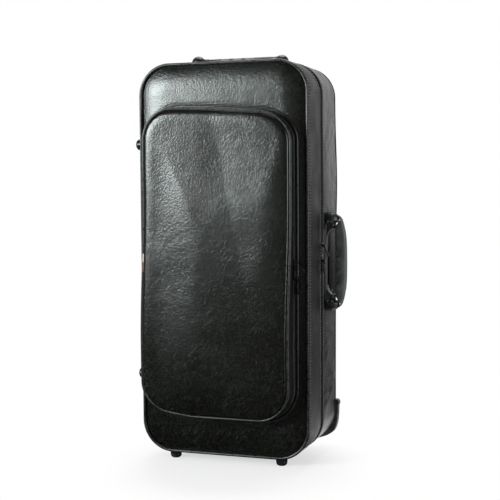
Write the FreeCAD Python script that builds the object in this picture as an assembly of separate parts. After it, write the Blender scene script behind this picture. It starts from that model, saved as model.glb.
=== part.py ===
"""Upright double trumpet case: zipped shell and front pocket, two swing handles, feet, fitted inside.

Millimetres. While it is modelled, X runs to the right, Y runs to the back and Z runs up; X = 0 is the
middle of the case, Y = 0 the front face of the lid and Z = 0 the underside of the case. At the end every
piece is moved so that the origin lies on the floor, under the centre of the whole case's box.
"""

import FreeCAD
import Part
import math
import os

Vec = FreeCAD.Vector

# Case body, measured over the covering
body_width = 260.7
body_height = 580.0
corner_radius = 46.9
lid_depth = 65.0
zip_gap = 6.0
rear_depth = 81.5

# Build-up of the walls, from the outside in
skin_thickness = 1.6
skin_gap = 0.15
frame_thickness = 6.2
board_thickness = 4.5
front_skin_thickness = 2.4
edge_setback = 3.5

# Piping along the front and rear edges
piping_radius = 2.2
piping_inset = 1.6
piping_sink = 0.8
skin_edge_inset = 4.0
seam_clearance = 0.2

# Zip fasteners, sizes shared by the main zip and the pocket zip
parting_gap = 1.3
tooth_width = 2.3
tooth_thickness = 2.4
tooth_recess = 0.9
tape_width = 5.6
tape_thickness = 0.7
hinge_zip_stop = 10.0

# Slider and pull
slider_length = 15.0
slider_width = 9.6
slider_plate = 1.4
slider_lift = 0.35
slider_drop = 3.9
slider_web = 0.7
slider_corner = 2.2
lug_thickness = 1.2
lug_length = 4.4
lug_inner_half = 1.7
pull_pin_radius = 0.8
pull_pin_height = 4.8
pull_pin_offset = 3.6
pull_eye_radius = 1.8
pull_bore_clearance = 0.06
pull_side_clearance = 0.3
pull_thickness = 1.6
pull_root_width = 4.6
pull_tip_width = 6.4
main_pull_length = 18.0
pocket_pull_length = 24.0
pocket_upper_pull_length = 16.0
main_slider_rise = 8.5
main_slider_upper_tilt = 24.0
pocket_slider_drop = 8.5
pocket_slider_upper_tilt = 38.0
slider_meeting_gap = 0.6

# Leather hinge along the left edge
hinge_strip_thickness = 1.2
hinge_strip_width = 15.0
hinge_fold_gap = 0.5

# Front pocket
pocket_side_inset = 18.85
pocket_bottom_inset = 63.5
pocket_top_inset = 68.5
pocket_radius = 45.0
pocket_flare_side = 1.0
pocket_flare_bottom = 6.5
pocket_flare_top = 5.5
pocket_flare_radius = 4.0
pocket_depth = 30.0
pocket_wall = 2.0
pocket_panel_thickness = 3.0
pocket_crown = 4.5
pocket_crown_inset = 34.0
pocket_piping_radius = 2.0
pocket_zip_centre = 9.5
pocket_fold_inset = 61.5
pocket_fold_gap = 0.6

# Plain cloth tab in the pocket's left seam
tab_length = 20.0
tab_reach = 5.0
tab_thickness = 1.6
tab_rise = 2.5

# Swing handles
handle_dome_radius = 11.0
handle_pivot_height = 8.8
handle_dome_centre = 63.5
handle_eye_outer = 61.4
handle_eye_thickness = 2.6
handle_eye_radius = 5.4
handle_eye_clearance = 0.4
handle_neck_radius = 5.5
handle_neck_length = 8.4
handle_ramp_length = 13.0
ramp_sag_height_share = 0.25
ramp_sag_place_share = 0.35
handle_plate_half_width = 10.0
handle_plate_thickness = 2.4
handle_pin_radius = 2.5
handle_pin_clearance = 0.05
handle_pin_seat = 0.02
handle_pin_reach = 9.0
grip_reach = 31.7
grip_inner_height = 17.0
grip_shoulder = 48.0
grip_shoulder_height = 28.4
grip_end_height = 20.0
grip_half_width = 6.2
grip_edge_radius = 4.6
scallop_radius = 15.0
scallop_depth = 1.6
scallop_pitch = 22.0
scallop_count = 3
side_handle_behind_zip = 28.0
side_handle_drop = 5.9
top_handle_x = -5.0
top_handle_behind_zip = 24.0
backplate_thickness = 1.5
backplate_half_width = 11.0
backplate_end = 74.0
screw_radius = 2.0
screw_head_radius = 4.0
screw_head_height = 2.0
screw_spread = 69.0
screw_hole_clearance = 0.05

# Feet under the case and studs on its left side
foot_radius = 8.6
foot_height = 12.0
foot_rim = 7.0
foot_side_inset = 46.35
foot_front_inset = 15.0
foot_rear_inset = 24.5
stud_front_inset = 16.0
stud_rear_inset = 26.5
stud_low_inset = 115.0
stud_high_inset = 118.0
foot_seat = 0.02

# Moulded guards on the rear bottom corners
guard_proud = 4.05
guard_thickness = 9.0
guard_clearance = 0.3
guard_tip_inset = 30.85
guard_tip_drop = 1.6
guard_heel_inset = 7.85
guard_heel_rise = 8.2
guard_knee_inset = 0.35
guard_knee_rise = 17.0
guard_side_proud = 2.95
guard_side_rise = 31.0
guard_top_rise = 56.0
guard_eye_radius = 5.2
guard_eye_hole = 1.8
guard_eye_proud = 0.25
guard_eye_rise = 57.5
guard_inner_inset = 14.35
guard_inner_rise = 40.0
guard_pad_inset = 6.0
guard_screw_inset = 13.35
guard_screw_rise = 26.0

# Fitted inside
lining_gap = 0.3
bed_depth = 53.0
bed_floor = 2.0
well_margin = 8.0
bell_width = 123.0
bell_length = 48.0
cone_length = 130.0
valve_width = 74.0
well_end_margin = 22.0
well_radius = 8.0
lid_pad_thickness = 14.0
lid_pad_rim = 4.0
strap_width = 38.0
strap_thickness = 2.0
strap_low_share = 0.3
strap_high_share = 0.7
strap_lift = 0.1
strap_end_length = 26.0
strap_hook_thickness = 1.6
mouthpiece_block_width = 40.0
mouthpiece_block_length = 84.0
mouthpiece_block_height = 30.0
mouthpiece_bore_radius = 13.5
mouthpiece_bore_depth = 24.0
mouthpiece_pitch = 40.0

# One overrun serves every cutting tool
overrun = 5.0
far = 900.0
quarter_turn = 90.0

# Worked-out values
half_width = body_width / 2
body_depth = lid_depth + zip_gap + rear_depth
rear_edge = lid_depth + zip_gap
zip_y = lid_depth + zip_gap / 2
frame_inset = skin_thickness + skin_gap
inside_inset = frame_inset + frame_thickness
front_board_y = piping_sink + piping_radius + seam_clearance
front_inside_y = front_board_y + board_thickness
rear_board_y = body_depth - front_board_y
rear_inside_y = rear_board_y - board_thickness
back_face_y = rear_board_y + front_skin_thickness
lid_frame_end = lid_depth - edge_setback
rear_frame_start = rear_edge + edge_setback
hinge_x = -half_width - hinge_strip_thickness
bed_face_y = rear_inside_y - bed_depth

pocket_half_width = half_width - pocket_side_inset
pocket_bottom = pocket_bottom_inset
pocket_top = body_height - pocket_top_inset
pocket_middle_z = (pocket_bottom + pocket_top) / 2
pocket_face_y = -pocket_depth
pocket_base_half_width = pocket_half_width + pocket_flare_side
pocket_fold_x = pocket_fold_inset - pocket_half_width

main_slider_z = body_height / 2 + main_slider_rise
pocket_slider_z = pocket_middle_z - pocket_slider_drop
tab_z = pocket_middle_z + tab_rise
side_handle_y = rear_edge + side_handle_behind_zip
side_handle_z = body_height / 2 - side_handle_drop
top_handle_y = rear_edge + top_handle_behind_zip
foot_x = half_width - foot_side_inset
foot_front_y = foot_front_inset
foot_rear_y = body_depth - foot_rear_inset
stud_y = stud_front_inset
stud_rear_y = body_depth - stud_rear_inset
stud_low_z = stud_low_inset
stud_high_z = body_height - stud_high_inset
guard_eye_x = half_width + guard_eye_proud
guard_screw_x = half_width - guard_screw_inset

body_outline = (-half_width, half_width, 0.0, body_height, corner_radius)
pocket_outline = (-pocket_half_width, pocket_half_width, pocket_bottom, pocket_top, pocket_radius)
pocket_base_outline = (
    -pocket_base_half_width,
    pocket_base_half_width,
    pocket_bottom - pocket_flare_bottom,
    pocket_top + pocket_flare_top,
    pocket_radius + pocket_flare_radius,
)


def inset(outline, distance):
    """The outline moved inwards by the distance, corners kept concentric."""
    x0, x1, z0, z1, radius = outline
    return (x0 + distance, x1 - distance, z0 + distance, z1 - distance, radius - distance)


def outline_wire(outline, y):
    """Rounded rectangle in the plane Y = y, from four lines and four quarter arcs."""
    x0, x1, z0, z1, radius = outline
    corners = (
        (x1 - radius, z0 + radius, -math.pi / 2),
        (x1 - radius, z1 - radius, 0.0),
        (x0 + radius, z1 - radius, math.pi / 2),
        (x0 + radius, z0 + radius, math.pi),
    )
    arcs = []
    for cx, cz, start in corners:
        points = []
        for turn in (0.0, math.pi / 4, math.pi / 2):
            angle = start + turn
            points.append(Vec(cx + radius * math.cos(angle), y, cz + radius * math.sin(angle)))
        arcs.append(points)
    edges = []
    for index, points in enumerate(arcs):
        edges.append(Part.Arc(*points).toShape())
        following = arcs[(index + 1) % len(arcs)]
        edges.append(Part.makeLine(points[-1], following[0]))
    return Part.Wire(edges)


def slab(outline, y0, y1):
    """Rounded rectangle filled from Y = y0 to Y = y1."""
    face = Part.Face(outline_wire(outline, y0))
    return face.extrude(Vec(0, y1 - y0, 0))


def ring(outline, thickness, y0, y1):
    """Wall that follows the outline, its thickness measured inwards."""
    return slab(outline, y0, y1).cut(slab(inset(outline, thickness), y0 - overrun, y1 + overrun))


def taper_slab(outline0, y0, outline1, y1):
    """Solid between two rounded rectangles of unlike size."""
    return Part.makeLoft([outline_wire(outline0, y0), outline_wire(outline1, y1)], True, True)


def box(x0, x1, y0, y1, z0, z1):
    """Block between two corners."""
    return Part.makeBox(x1 - x0, y1 - y0, z1 - z0, Vec(x0, y0, z0))


def rod(start, direction, length, radius):
    """Round bar from a point along a direction."""
    return Part.makeCylinder(radius, length, start, direction)


def join(shapes):
    """One solid from shapes that touch or overlap."""
    return shapes[0].multiFuse(shapes[1:]).removeSplitter()


def polygon_prism(points, along):
    """Prism on a closed outline of points."""
    return Part.Face(Part.makePolygon(points + [points[0]])).extrude(along)


def piping(outline, y, radius):
    """Round cord that follows a rounded rectangle in the plane Y = y."""
    x0, x1, z0, z1, bend = outline
    up = Vec(0, 0, 1)
    right = Vec(1, 0, 0)
    pieces = [
        rod(Vec(x0, y, z0 + bend), up, z1 - z0 - 2 * bend, radius),
        rod(Vec(x1, y, z0 + bend), up, z1 - z0 - 2 * bend, radius),
        rod(Vec(x0 + bend, y, z0), right, x1 - x0 - 2 * bend, radius),
        rod(Vec(x0 + bend, y, z1), right, x1 - x0 - 2 * bend, radius),
    ]
    corners = (
        (x1, x1 - bend, z0 + bend, quarter_turn),
        (x1, x1 - bend, z1 - bend, -quarter_turn),
        (x0, x0 + bend, z1 - bend, quarter_turn),
        (x0, x0 + bend, z0 + bend, -quarter_turn),
    )
    for start_x, centre_x, centre_z, turn in corners:
        circle = Part.Wire(Part.makeCircle(radius, Vec(start_x, y, centre_z), up))
        pieces.append(Part.Face(circle).revolve(Vec(centre_x, y, centre_z), Vec(0, 1, 0), turn))
    return join(pieces)


# Lid and rear shell

def lid_front_skin():
    y1 = front_board_y - seam_clearance
    return slab(inset(body_outline, skin_edge_inset), y1 - front_skin_thickness, y1)


def lid_side_skin():
    return ring(body_outline, skin_thickness, front_board_y, lid_depth)


def lid_board():
    return slab(inset(body_outline, frame_inset), front_board_y, front_inside_y)


def lid_frame():
    return ring(inset(body_outline, frame_inset), frame_thickness, front_inside_y, lid_frame_end)


def lid_pad():
    """Plush pad glued inside the lid, with a thinner rim."""
    outline = inset(body_outline, inside_inset + lining_gap)
    rim = slab(outline, front_inside_y, front_inside_y + lid_pad_rim)
    raised = inset(outline, well_margin)
    crown = taper_slab(
        raised,
        front_inside_y + lid_pad_rim,
        inset(raised, well_margin),
        front_inside_y + lid_pad_thickness,
    )
    return join([rim, crown])


def rear_side_skin():
    whole = ring(body_outline, skin_thickness, rear_edge, rear_board_y)
    for tool in handle_screw_holes(screw_radius + screw_hole_clearance):
        whole = whole.cut(tool)
    return whole


def rear_back_skin():
    y0 = rear_board_y + seam_clearance
    return slab(inset(body_outline, skin_edge_inset), y0, back_face_y + seam_clearance)


def rear_board():
    return slab(inset(body_outline, frame_inset), rear_inside_y, rear_board_y)


def rear_frame():
    whole = ring(inset(body_outline, frame_inset), frame_thickness, rear_frame_start, rear_inside_y)
    for tool in handle_screw_holes(screw_radius + screw_hole_clearance) + handle_recesses():
        whole = whole.cut(tool)
    return whole


def front_edge_piping():
    return piping(inset(body_outline, piping_inset), piping_sink, piping_radius)


def rear_edge_piping():
    return piping(inset(body_outline, piping_inset), body_depth - piping_sink, piping_radius)


# Main zip: two halves, left open along the straight part of the hinge side

def hinge_side_tool():
    return box(
        -half_width - overrun,
        -half_width + corner_radius,
        0.0,
        body_depth,
        corner_radius + hinge_zip_stop,
        body_height - corner_radius - hinge_zip_stop,
    )


def zip_half(side):
    """Teeth and tape on one side of the parting plane; side is -1 for the lid and 1 for the rear."""
    near = zip_y + side * parting_gap / 2
    tooth_far = near + side * tooth_width
    tape_far = near + side * tape_width
    teeth_outline = inset(body_outline, tooth_recess)
    teeth = ring(teeth_outline, tooth_thickness, min(near, tooth_far), max(near, tooth_far))
    tape_outline = inset(body_outline, skin_thickness + skin_gap / 2)
    tape = ring(tape_outline, tape_thickness, min(near, tape_far), max(near, tape_far))
    return join([teeth, tape]).cut(hinge_side_tool())


def hinge_leaf(side):
    """Half of the leather hinge, sewn over the edge of the lid or of the rear shell."""
    near = zip_y + side * hinge_fold_gap / 2
    away = near + side * hinge_strip_width
    return box(
        hinge_x,
        -half_width,
        min(near, away),
        max(near, away),
        corner_radius,
        body_height - corner_radius,
    )


# Sliders and pulls. Built at their own origin: X out of the wall, Y across the zip, Z along it.

def slider(flip):
    """Slider with two lugs and a pin; flip puts the lugs towards the lower end."""
    half = slider_length / 2
    plate_top = slider_lift + slider_plate
    wide = slider_width / 2
    outer = box(slider_lift, plate_top, -wide, wide, -half, half)
    upright = [edge for edge in outer.Edges if edge.BoundBox.XLength > slider_plate / 2]
    outer = outer.makeFillet(slider_corner, upright)
    inner = box(-slider_drop - slider_plate, -slider_drop, -wide, wide, -half, half)
    web_low = -slider_drop - slider_plate / 2
    web_high = plate_top - slider_plate / 2
    web = box(web_low, web_high, -slider_web / 2, slider_web / 2, -half, half)
    middle = -pull_pin_offset if flip else pull_pin_offset
    pieces = [outer, inner, web]
    for side in (-1, 1):
        y0 = min(side * lug_inner_half, side * (lug_inner_half + lug_thickness))
        foot = box(
            plate_top - slider_plate / 2,
            pull_pin_height,
            y0,
            y0 + lug_thickness,
            middle - lug_length / 2,
            middle + lug_length / 2,
        )
        crown = rod(Vec(pull_pin_height, y0, middle), Vec(0, 1, 0), lug_thickness, lug_length / 2)
        pieces.extend([foot, crown])
    pin_half = lug_inner_half + lug_thickness / 2
    pieces.append(rod(Vec(pull_pin_height, -pin_half, middle), Vec(0, 1, 0), 2 * pin_half, pull_pin_radius))
    return join(pieces)


def pull(length, flip, tilt):
    """Flat pull on its eye, hanging down, swung out of the wall by the tilt in degrees."""
    middle = -pull_pin_offset if flip else pull_pin_offset
    half = lug_inner_half - pull_side_clearance
    centre = Vec(pull_pin_height, 0, middle)
    eye = rod(centre - Vec(0, half, 0), Vec(0, 1, 0), 2 * half, pull_eye_radius)
    thick = pull_thickness / 2
    neck_drop = lug_length / 2 + pull_pin_radius + pull_side_clearance
    neck = box(
        pull_pin_height - thick,
        pull_pin_height + thick,
        -half,
        half,
        middle - neck_drop - pull_pin_radius,
        middle,
    )
    top = middle - neck_drop
    bottom = middle - length
    root = pull_root_width / 2
    tip = pull_tip_width / 2
    x0 = pull_pin_height - thick
    blade = polygon_prism(
        [Vec(x0, -root, top), Vec(x0, root, top), Vec(x0, tip, bottom + tip), Vec(x0, -tip, bottom + tip)],
        Vec(pull_thickness, 0, 0),
    )
    end = rod(Vec(x0, 0, bottom + tip), Vec(1, 0, 0), pull_thickness, tip)
    whole = join([eye, neck, blade, end])
    bore = rod(
        centre - Vec(0, half + overrun, 0),
        Vec(0, 1, 0),
        2 * (half + overrun),
        pull_pin_radius + pull_bore_clearance,
    )
    whole = whole.cut(bore)
    whole.rotate(centre, Vec(0, 1, 0), -tilt)
    return whole


def main_slider_place(upper):
    step = (slider_length + slider_meeting_gap) / 2
    return Vec(half_width, zip_y, main_slider_z + (step if upper else -step))


def pocket_wall_x():
    """Outer face of the pocket wall at the zip's centre line."""
    share = pocket_zip_centre / pocket_depth
    return pocket_base_half_width - (pocket_base_half_width - pocket_half_width) * share


def pocket_slider_place(upper):
    step = (slider_length + slider_meeting_gap) / 2
    return Vec(pocket_wall_x(), -pocket_zip_centre, pocket_slider_z + (step if upper else -step))


def placed(shape, place):
    shape.translate(place)
    return shape


# Front pocket

def pocket_block(depth_inset):
    """Solid that the pocket wall follows, moved inwards by depth_inset."""
    return taper_slab(
        inset(pocket_outline, depth_inset),
        pocket_face_y,
        inset(pocket_base_outline, depth_inset),
        0.0,
    )


def pocket_wall_band(outer_inset, thickness, y0, y1):
    """Part of the flared wall between two depths."""
    wall = pocket_block(outer_inset).cut(pocket_block(outer_inset + thickness))
    return wall.common(box(-far, far, y0, y1, -far, far))


def left_of_fold():
    return box(-far, pocket_fold_x - pocket_fold_gap / 2, -far, far, -far, far)


def right_of_fold():
    return box(pocket_fold_x + pocket_fold_gap / 2, far, -far, far, -far, far)


def pocket_panel():
    """Padded front panel with its crown."""
    y0 = pocket_face_y - pocket_panel_thickness
    flat = slab(inset(pocket_outline, pocket_piping_radius), y0, pocket_face_y + pocket_wall / 2)
    crown = taper_slab(
        inset(pocket_outline, pocket_piping_radius),
        y0,
        inset(pocket_outline, pocket_crown_inset),
        y0 - pocket_crown,
    )
    return join([flat, crown])


def pocket_panel_fixed():
    return pocket_panel().common(left_of_fold())


def pocket_panel_flap():
    return pocket_panel().common(right_of_fold())


def pocket_front_cord():
    y = pocket_face_y + pocket_wall / 2 + pocket_piping_radius
    return piping(inset(pocket_outline, -pocket_piping_radius / 2), y, pocket_piping_radius)


def pocket_cord_cut(shape):
    return shape.cut(pocket_front_cord())


def pocket_wall_fixed():
    """Pocket wall on the fold's left side, sewn down to the lid."""
    seam = pocket_face_y + pocket_wall / 2 + seam_clearance
    band = pocket_wall_band(0.0, pocket_wall, seam, -seam_clearance)
    return pocket_cord_cut(band.common(left_of_fold()))


def pocket_wall_flap():
    """Pocket wall that opens with the flap, down to the zip."""
    seam = pocket_face_y + pocket_wall / 2 + seam_clearance
    end = -pocket_zip_centre - zip_gap / 2
    return pocket_cord_cut(pocket_wall_band(0.0, pocket_wall, seam, end).common(right_of_fold()))


def pocket_base_band():
    """Narrow band between the zip and the lid, all round the opening side."""
    start = -pocket_zip_centre + zip_gap / 2
    return pocket_wall_band(0.0, pocket_wall, start, -seam_clearance).common(right_of_fold())


def pocket_zip_half(side):
    """Teeth of the pocket zip; side is -1 for the flap and 1 for the base band."""
    near = -pocket_zip_centre + side * parting_gap / 2
    away = -pocket_zip_centre + side * (zip_gap / 2 - seam_clearance / 2)
    band = pocket_wall_band(tooth_recess / 2, pocket_wall - tooth_recess, min(near, away), max(near, away))
    return band.common(right_of_fold())


def pocket_base_cord():
    y = -pocket_piping_radius
    outline = inset(pocket_base_outline, -pocket_piping_radius - seam_clearance)
    return piping(outline, y + seam_clearance / 2, pocket_piping_radius)


def pocket_tab():
    """Plain folded tab in the left seam of the pocket."""
    x1 = -pocket_half_width - 2 * pocket_piping_radius + pocket_piping_radius / 2
    y = pocket_face_y + pocket_wall / 2 + pocket_piping_radius
    return box(
        x1 - tab_reach,
        x1 - seam_clearance,
        y - tab_thickness / 2,
        y + tab_thickness / 2,
        tab_z - tab_length / 2,
        tab_z + tab_length / 2,
    )


# Swing handle. Built at its own origin: X out of the wall, Y across, Z along the handle.

def handle_dome(sign):
    """Upright bullet-shaped end with a flat inner face."""
    centre = sign * handle_dome_centre
    body = rod(Vec(0, 0, centre), Vec(1, 0, 0), handle_pivot_height, handle_dome_radius)
    cap = Part.makeSphere(handle_dome_radius, Vec(handle_pivot_height, 0, centre))
    face_at = handle_eye_outer + handle_eye_clearance
    keep_start = face_at if sign > 0 else -far
    keep = box(0.0, far, -far, far, keep_start, keep_start + far - (0.0 if sign > 0 else face_at))
    return join([body, cap]).common(keep)


def handle_neck(sign):
    """Neck inside the eye, with its ramp down to the plate."""
    inner = handle_eye_outer - handle_eye_thickness - handle_eye_clearance
    start = inner - handle_neck_length
    z0 = min(sign * start, sign * inner)
    boss = rod(Vec(handle_pivot_height, 0, z0), Vec(0, 0, 1), handle_neck_length, handle_neck_radius)
    z1 = z0 + handle_neck_length
    foot = box(0.0, handle_pivot_height, -handle_neck_radius, handle_neck_radius, z0, z1)
    low = Vec(handle_plate_thickness, -handle_neck_radius, sign * (start - handle_ramp_length))
    high = Vec(handle_pivot_height, -handle_neck_radius, sign * start)
    base = Vec(handle_plate_thickness, -handle_neck_radius, sign * start)
    sag = Vec(
        handle_plate_thickness + (handle_pivot_height - handle_plate_thickness) * ramp_sag_height_share,
        -handle_neck_radius,
        sign * (start - handle_ramp_length * ramp_sag_place_share),
    )
    curve = Part.Arc(low, sag, high).toShape()
    outline = Part.Wire([curve, Part.makeLine(high, base), Part.makeLine(base, low)])
    ramp = Part.Face(outline).extrude(Vec(0, 2 * handle_neck_radius, 0))
    return join([boss, foot, ramp])


def handle_pin_tools(radius):
    """Two round tools on the pivot axis, one at each end."""
    start = handle_eye_outer - handle_eye_thickness - handle_pin_reach / 2
    length = handle_eye_thickness + handle_pin_reach
    tools = []
    for sign in (-1, 1):
        z0 = start if sign > 0 else -start - length
        tools.append(rod(Vec(handle_pivot_height, 0, z0), Vec(0, 0, 1), length, radius))
    return tools


def handle_base():
    plate = box(
        0.0,
        handle_plate_thickness,
        -handle_plate_half_width,
        handle_plate_half_width,
        -handle_dome_centre,
        handle_dome_centre,
    )
    whole = join([plate, handle_dome(-1), handle_dome(1), handle_neck(-1), handle_neck(1)])
    for tool in handle_pin_tools(handle_pin_radius + handle_pin_seat):
        whole = whole.cut(tool)
    for sign in (-1, 1):
        pilot = rod(
            Vec(-overrun, 0, sign * screw_spread),
            Vec(1, 0, 0),
            overrun + handle_pivot_height / 2 + screw_hole_clearance,
            screw_radius + screw_hole_clearance,
        )
        whole = whole.cut(pilot)
    return whole


def grip_section():
    """Cross-section of the grip at its middle, rounded where the palm lies."""
    low = grip_inner_height - grip_edge_radius / 2
    turn = grip_reach - grip_edge_radius
    side = grip_half_width - grip_edge_radius
    mid = grip_edge_radius * math.sin(math.pi / 4)
    edges = [
        Part.makeLine(Vec(low, grip_half_width, 0), Vec(low, -grip_half_width, 0)),
        Part.makeLine(Vec(low, -grip_half_width, 0), Vec(turn, -grip_half_width, 0)),
        Part.Arc(
            Vec(turn, -grip_half_width, 0),
            Vec(turn + mid, -side - mid, 0),
            Vec(grip_reach, -side, 0),
        ).toShape(),
        Part.makeLine(Vec(grip_reach, -side, 0), Vec(grip_reach, side, 0)),
        Part.Arc(
            Vec(grip_reach, side, 0),
            Vec(turn + mid, side + mid, 0),
            Vec(turn, grip_half_width, 0),
        ).toShape(),
        Part.makeLine(Vec(turn, grip_half_width, 0), Vec(low, grip_half_width, 0)),
    ]
    return Part.Face(Part.Wire(edges))


def grip_arch():
    """Arched bar: a long shallow arch between two tighter ends that meet it smoothly."""
    across = Vec(0, 1, 0)
    drop = grip_reach - grip_shoulder_height
    arch_radius = (grip_shoulder ** 2 + drop ** 2) / (2 * drop)
    lean = math.asin(grip_shoulder / arch_radius)
    arch_centre = Vec(grip_reach - arch_radius, 0, 0)
    inward = Vec(-math.cos(lean), 0, -math.sin(lean))
    shoulder = Vec(grip_shoulder_height, 0, grip_shoulder)
    chord = Vec(grip_end_height, 0, handle_eye_outer) - shoulder
    end_radius = chord.dot(chord) / (2 * chord.dot(inward))
    end_centre = shoulder + inward * end_radius
    end_turn = 2 * math.asin(chord.Length / (2 * end_radius))
    pieces = []
    for sign in (-1, 1):
        section = grip_section()
        pieces.append(section.revolve(arch_centre, across, -sign * math.degrees(lean)))
        section.rotate(arch_centre, across, -sign * math.degrees(lean))
        centre = Vec(end_centre.x, 0, sign * end_centre.z)
        pieces.append(section.revolve(centre, across, -sign * math.degrees(end_turn)))
    keep = box(grip_inner_height, far, -far, far, -handle_eye_outer, handle_eye_outer)
    return join(pieces).common(keep)


def handle_grip():
    """Arched grip with an eye at each end and finger hollows inside."""
    inner = handle_eye_outer - handle_eye_thickness
    pieces = [grip_arch()]
    for sign in (-1, 1):
        z0 = inner if sign > 0 else -handle_eye_outer
        shoulder_z = min(sign * grip_shoulder, sign * handle_eye_outer)
        z1 = z0 + handle_eye_thickness
        eye_start = Vec(handle_pivot_height, 0, z0)
        pieces.append(rod(eye_start, Vec(0, 0, 1), handle_eye_thickness, handle_eye_radius))
        pieces.append(box(
            handle_pivot_height,
            grip_end_height,
            -grip_half_width,
            grip_half_width,
            z0,
            z1,
        ))
        pieces.append(box(
            grip_inner_height,
            grip_end_height,
            -grip_half_width,
            grip_half_width,
            shoulder_z,
            shoulder_z + handle_eye_outer - grip_shoulder,
        ))
    whole = join(pieces)
    centre_x = grip_inner_height - scallop_radius + scallop_depth
    for index in range(scallop_count):
        z = (index - (scallop_count - 1) / 2) * scallop_pitch
        hollow = rod(
            Vec(centre_x, -grip_half_width - overrun, z),
            Vec(0, 1, 0),
            2 * (grip_half_width + overrun),
            scallop_radius,
        )
        whole = whole.cut(hollow)
    for tool in handle_pin_tools(handle_pin_radius + handle_pin_clearance):
        whole = whole.cut(tool)
    return whole


def handle_pins():
    return Part.makeCompound(handle_pin_tools(handle_pin_radius))


def handle_backplate():
    """Steel plate inside the wall that the screws pull against."""
    depth = -frame_inset - frame_thickness
    plate = box(
        depth - backplate_thickness,
        depth,
        -backplate_half_width,
        backplate_half_width,
        -backplate_end,
        backplate_end,
    )
    for sign in (-1, 1):
        hole = rod(
            Vec(depth - backplate_thickness - overrun, 0, sign * screw_spread),
            Vec(1, 0, 0),
            backplate_thickness + 2 * overrun,
            screw_radius + screw_hole_clearance,
        )
        plate = plate.cut(hole)
    return plate


def handle_screws():
    """Two screws from inside the case into the domed ends."""
    inside = -frame_inset - frame_thickness - backplate_thickness
    screws = []
    for sign in (-1, 1):
        shank = rod(
            Vec(inside, 0, sign * screw_spread),
            Vec(1, 0, 0),
            handle_pivot_height / 2 - inside,
            screw_radius,
        )
        head = rod(
            Vec(inside - screw_head_height, 0, sign * screw_spread),
            Vec(1, 0, 0),
            screw_head_height,
            screw_head_radius,
        )
        screws.append(join([shank, head]))
    return Part.makeCompound(screws)


def handle_screw_holes(radius):
    """Tools through the right and the top wall for the four handle screws."""
    tools = []
    for sign in (-1, 1):
        tools.append(rod(
            Vec(half_width - inside_inset - overrun, side_handle_y, side_handle_z + sign * screw_spread),
            Vec(1, 0, 0),
            inside_inset + 2 * overrun,
            radius,
        ))
        tools.append(rod(
            Vec(top_handle_x + sign * screw_spread, top_handle_y, body_height - inside_inset - overrun),
            Vec(0, 0, 1),
            inside_inset + 2 * overrun,
            radius,
        ))
    return tools


def handle_recesses():
    """Room for each handle's back plate and screw heads, from the frame's inner face inwards."""
    reach = backplate_thickness + screw_head_height + 2 * lining_gap
    half = backplate_half_width + 2 * lining_gap
    end = backplate_end + 2 * lining_gap
    side_face = half_width - inside_inset
    top_face = body_height - inside_inset
    return [
        box(
            side_face - reach,
            side_face,
            side_handle_y - half,
            side_handle_y + half,
            side_handle_z - end,
            side_handle_z + end,
        ),
        box(
            top_handle_x - end,
            top_handle_x + end,
            top_handle_y - half,
            top_handle_y + half,
            top_face - reach,
            top_face,
        ),
    ]


def on_side(shape):
    """Places a handle piece on the right wall."""
    shape.translate(Vec(half_width, side_handle_y, side_handle_z))
    return shape


def on_top(shape):
    """Turns a handle piece so that its length runs along X, and places it on the top wall."""
    shape.rotate(Vec(0, 0, 0), Vec(1, 0, 1), 2 * quarter_turn)
    shape.translate(Vec(top_handle_x, top_handle_y, body_height))
    return shape


def folded(shape):
    """Lays a grip down flat towards the back of the case."""
    shape.rotate(Vec(handle_pivot_height, 0, 0), Vec(0, 0, 1), -quarter_turn)
    return shape


# Feet and studs

def foot_form():
    """Domed foot along +X from its seat at the origin."""
    seat = rod(Vec(foot_seat, 0, 0), Vec(1, 0, 0), foot_rim - foot_seat, foot_radius)
    top = rod(Vec(foot_seat, 0, 0), Vec(1, 0, 0), foot_height - foot_seat, foot_radius)
    edge = [e for e in top.Edges if e.BoundBox.XMin > foot_rim and e.BoundBox.XLength < foot_seat]
    return join([seat, top.makeFillet(foot_height - foot_rim, edge)])


def bottom_foot(x, y):
    shape = foot_form()
    shape.rotate(Vec(0, 0, 0), Vec(0, 1, 0), quarter_turn)
    shape.translate(Vec(x, y, 0))
    return shape


def side_stud(y, z):
    shape = foot_form()
    shape.rotate(Vec(0, 0, 0), Vec(0, 0, 1), 2 * quarter_turn)
    shape.translate(Vec(-half_width, y, z))
    return shape


# Rear corner guards

def guard_plate_outline(y):
    """Outline of the right guard in the plane Y = y."""
    tip = Vec(half_width - guard_tip_inset, y, -guard_tip_drop)
    heel = Vec(half_width - guard_heel_inset, y, guard_heel_rise)
    knee = Vec(half_width - guard_knee_inset, y, guard_knee_rise)
    side = Vec(half_width + guard_side_proud, y, guard_side_rise)
    top = Vec(half_width + guard_proud, y, guard_top_rise)
    inner_top = Vec(guard_eye_x - guard_eye_radius, y, guard_top_rise)
    inner = Vec(half_width - guard_inner_inset, y, guard_inner_rise)
    edges = [
        Part.makeLine(tip, heel),
        Part.Arc(heel, knee, side).toShape(),
        Part.makeLine(side, top),
        Part.makeLine(top, inner_top),
        Part.Arc(inner_top, inner, tip).toShape(),
    ]
    return Part.Wire(edges)


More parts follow.
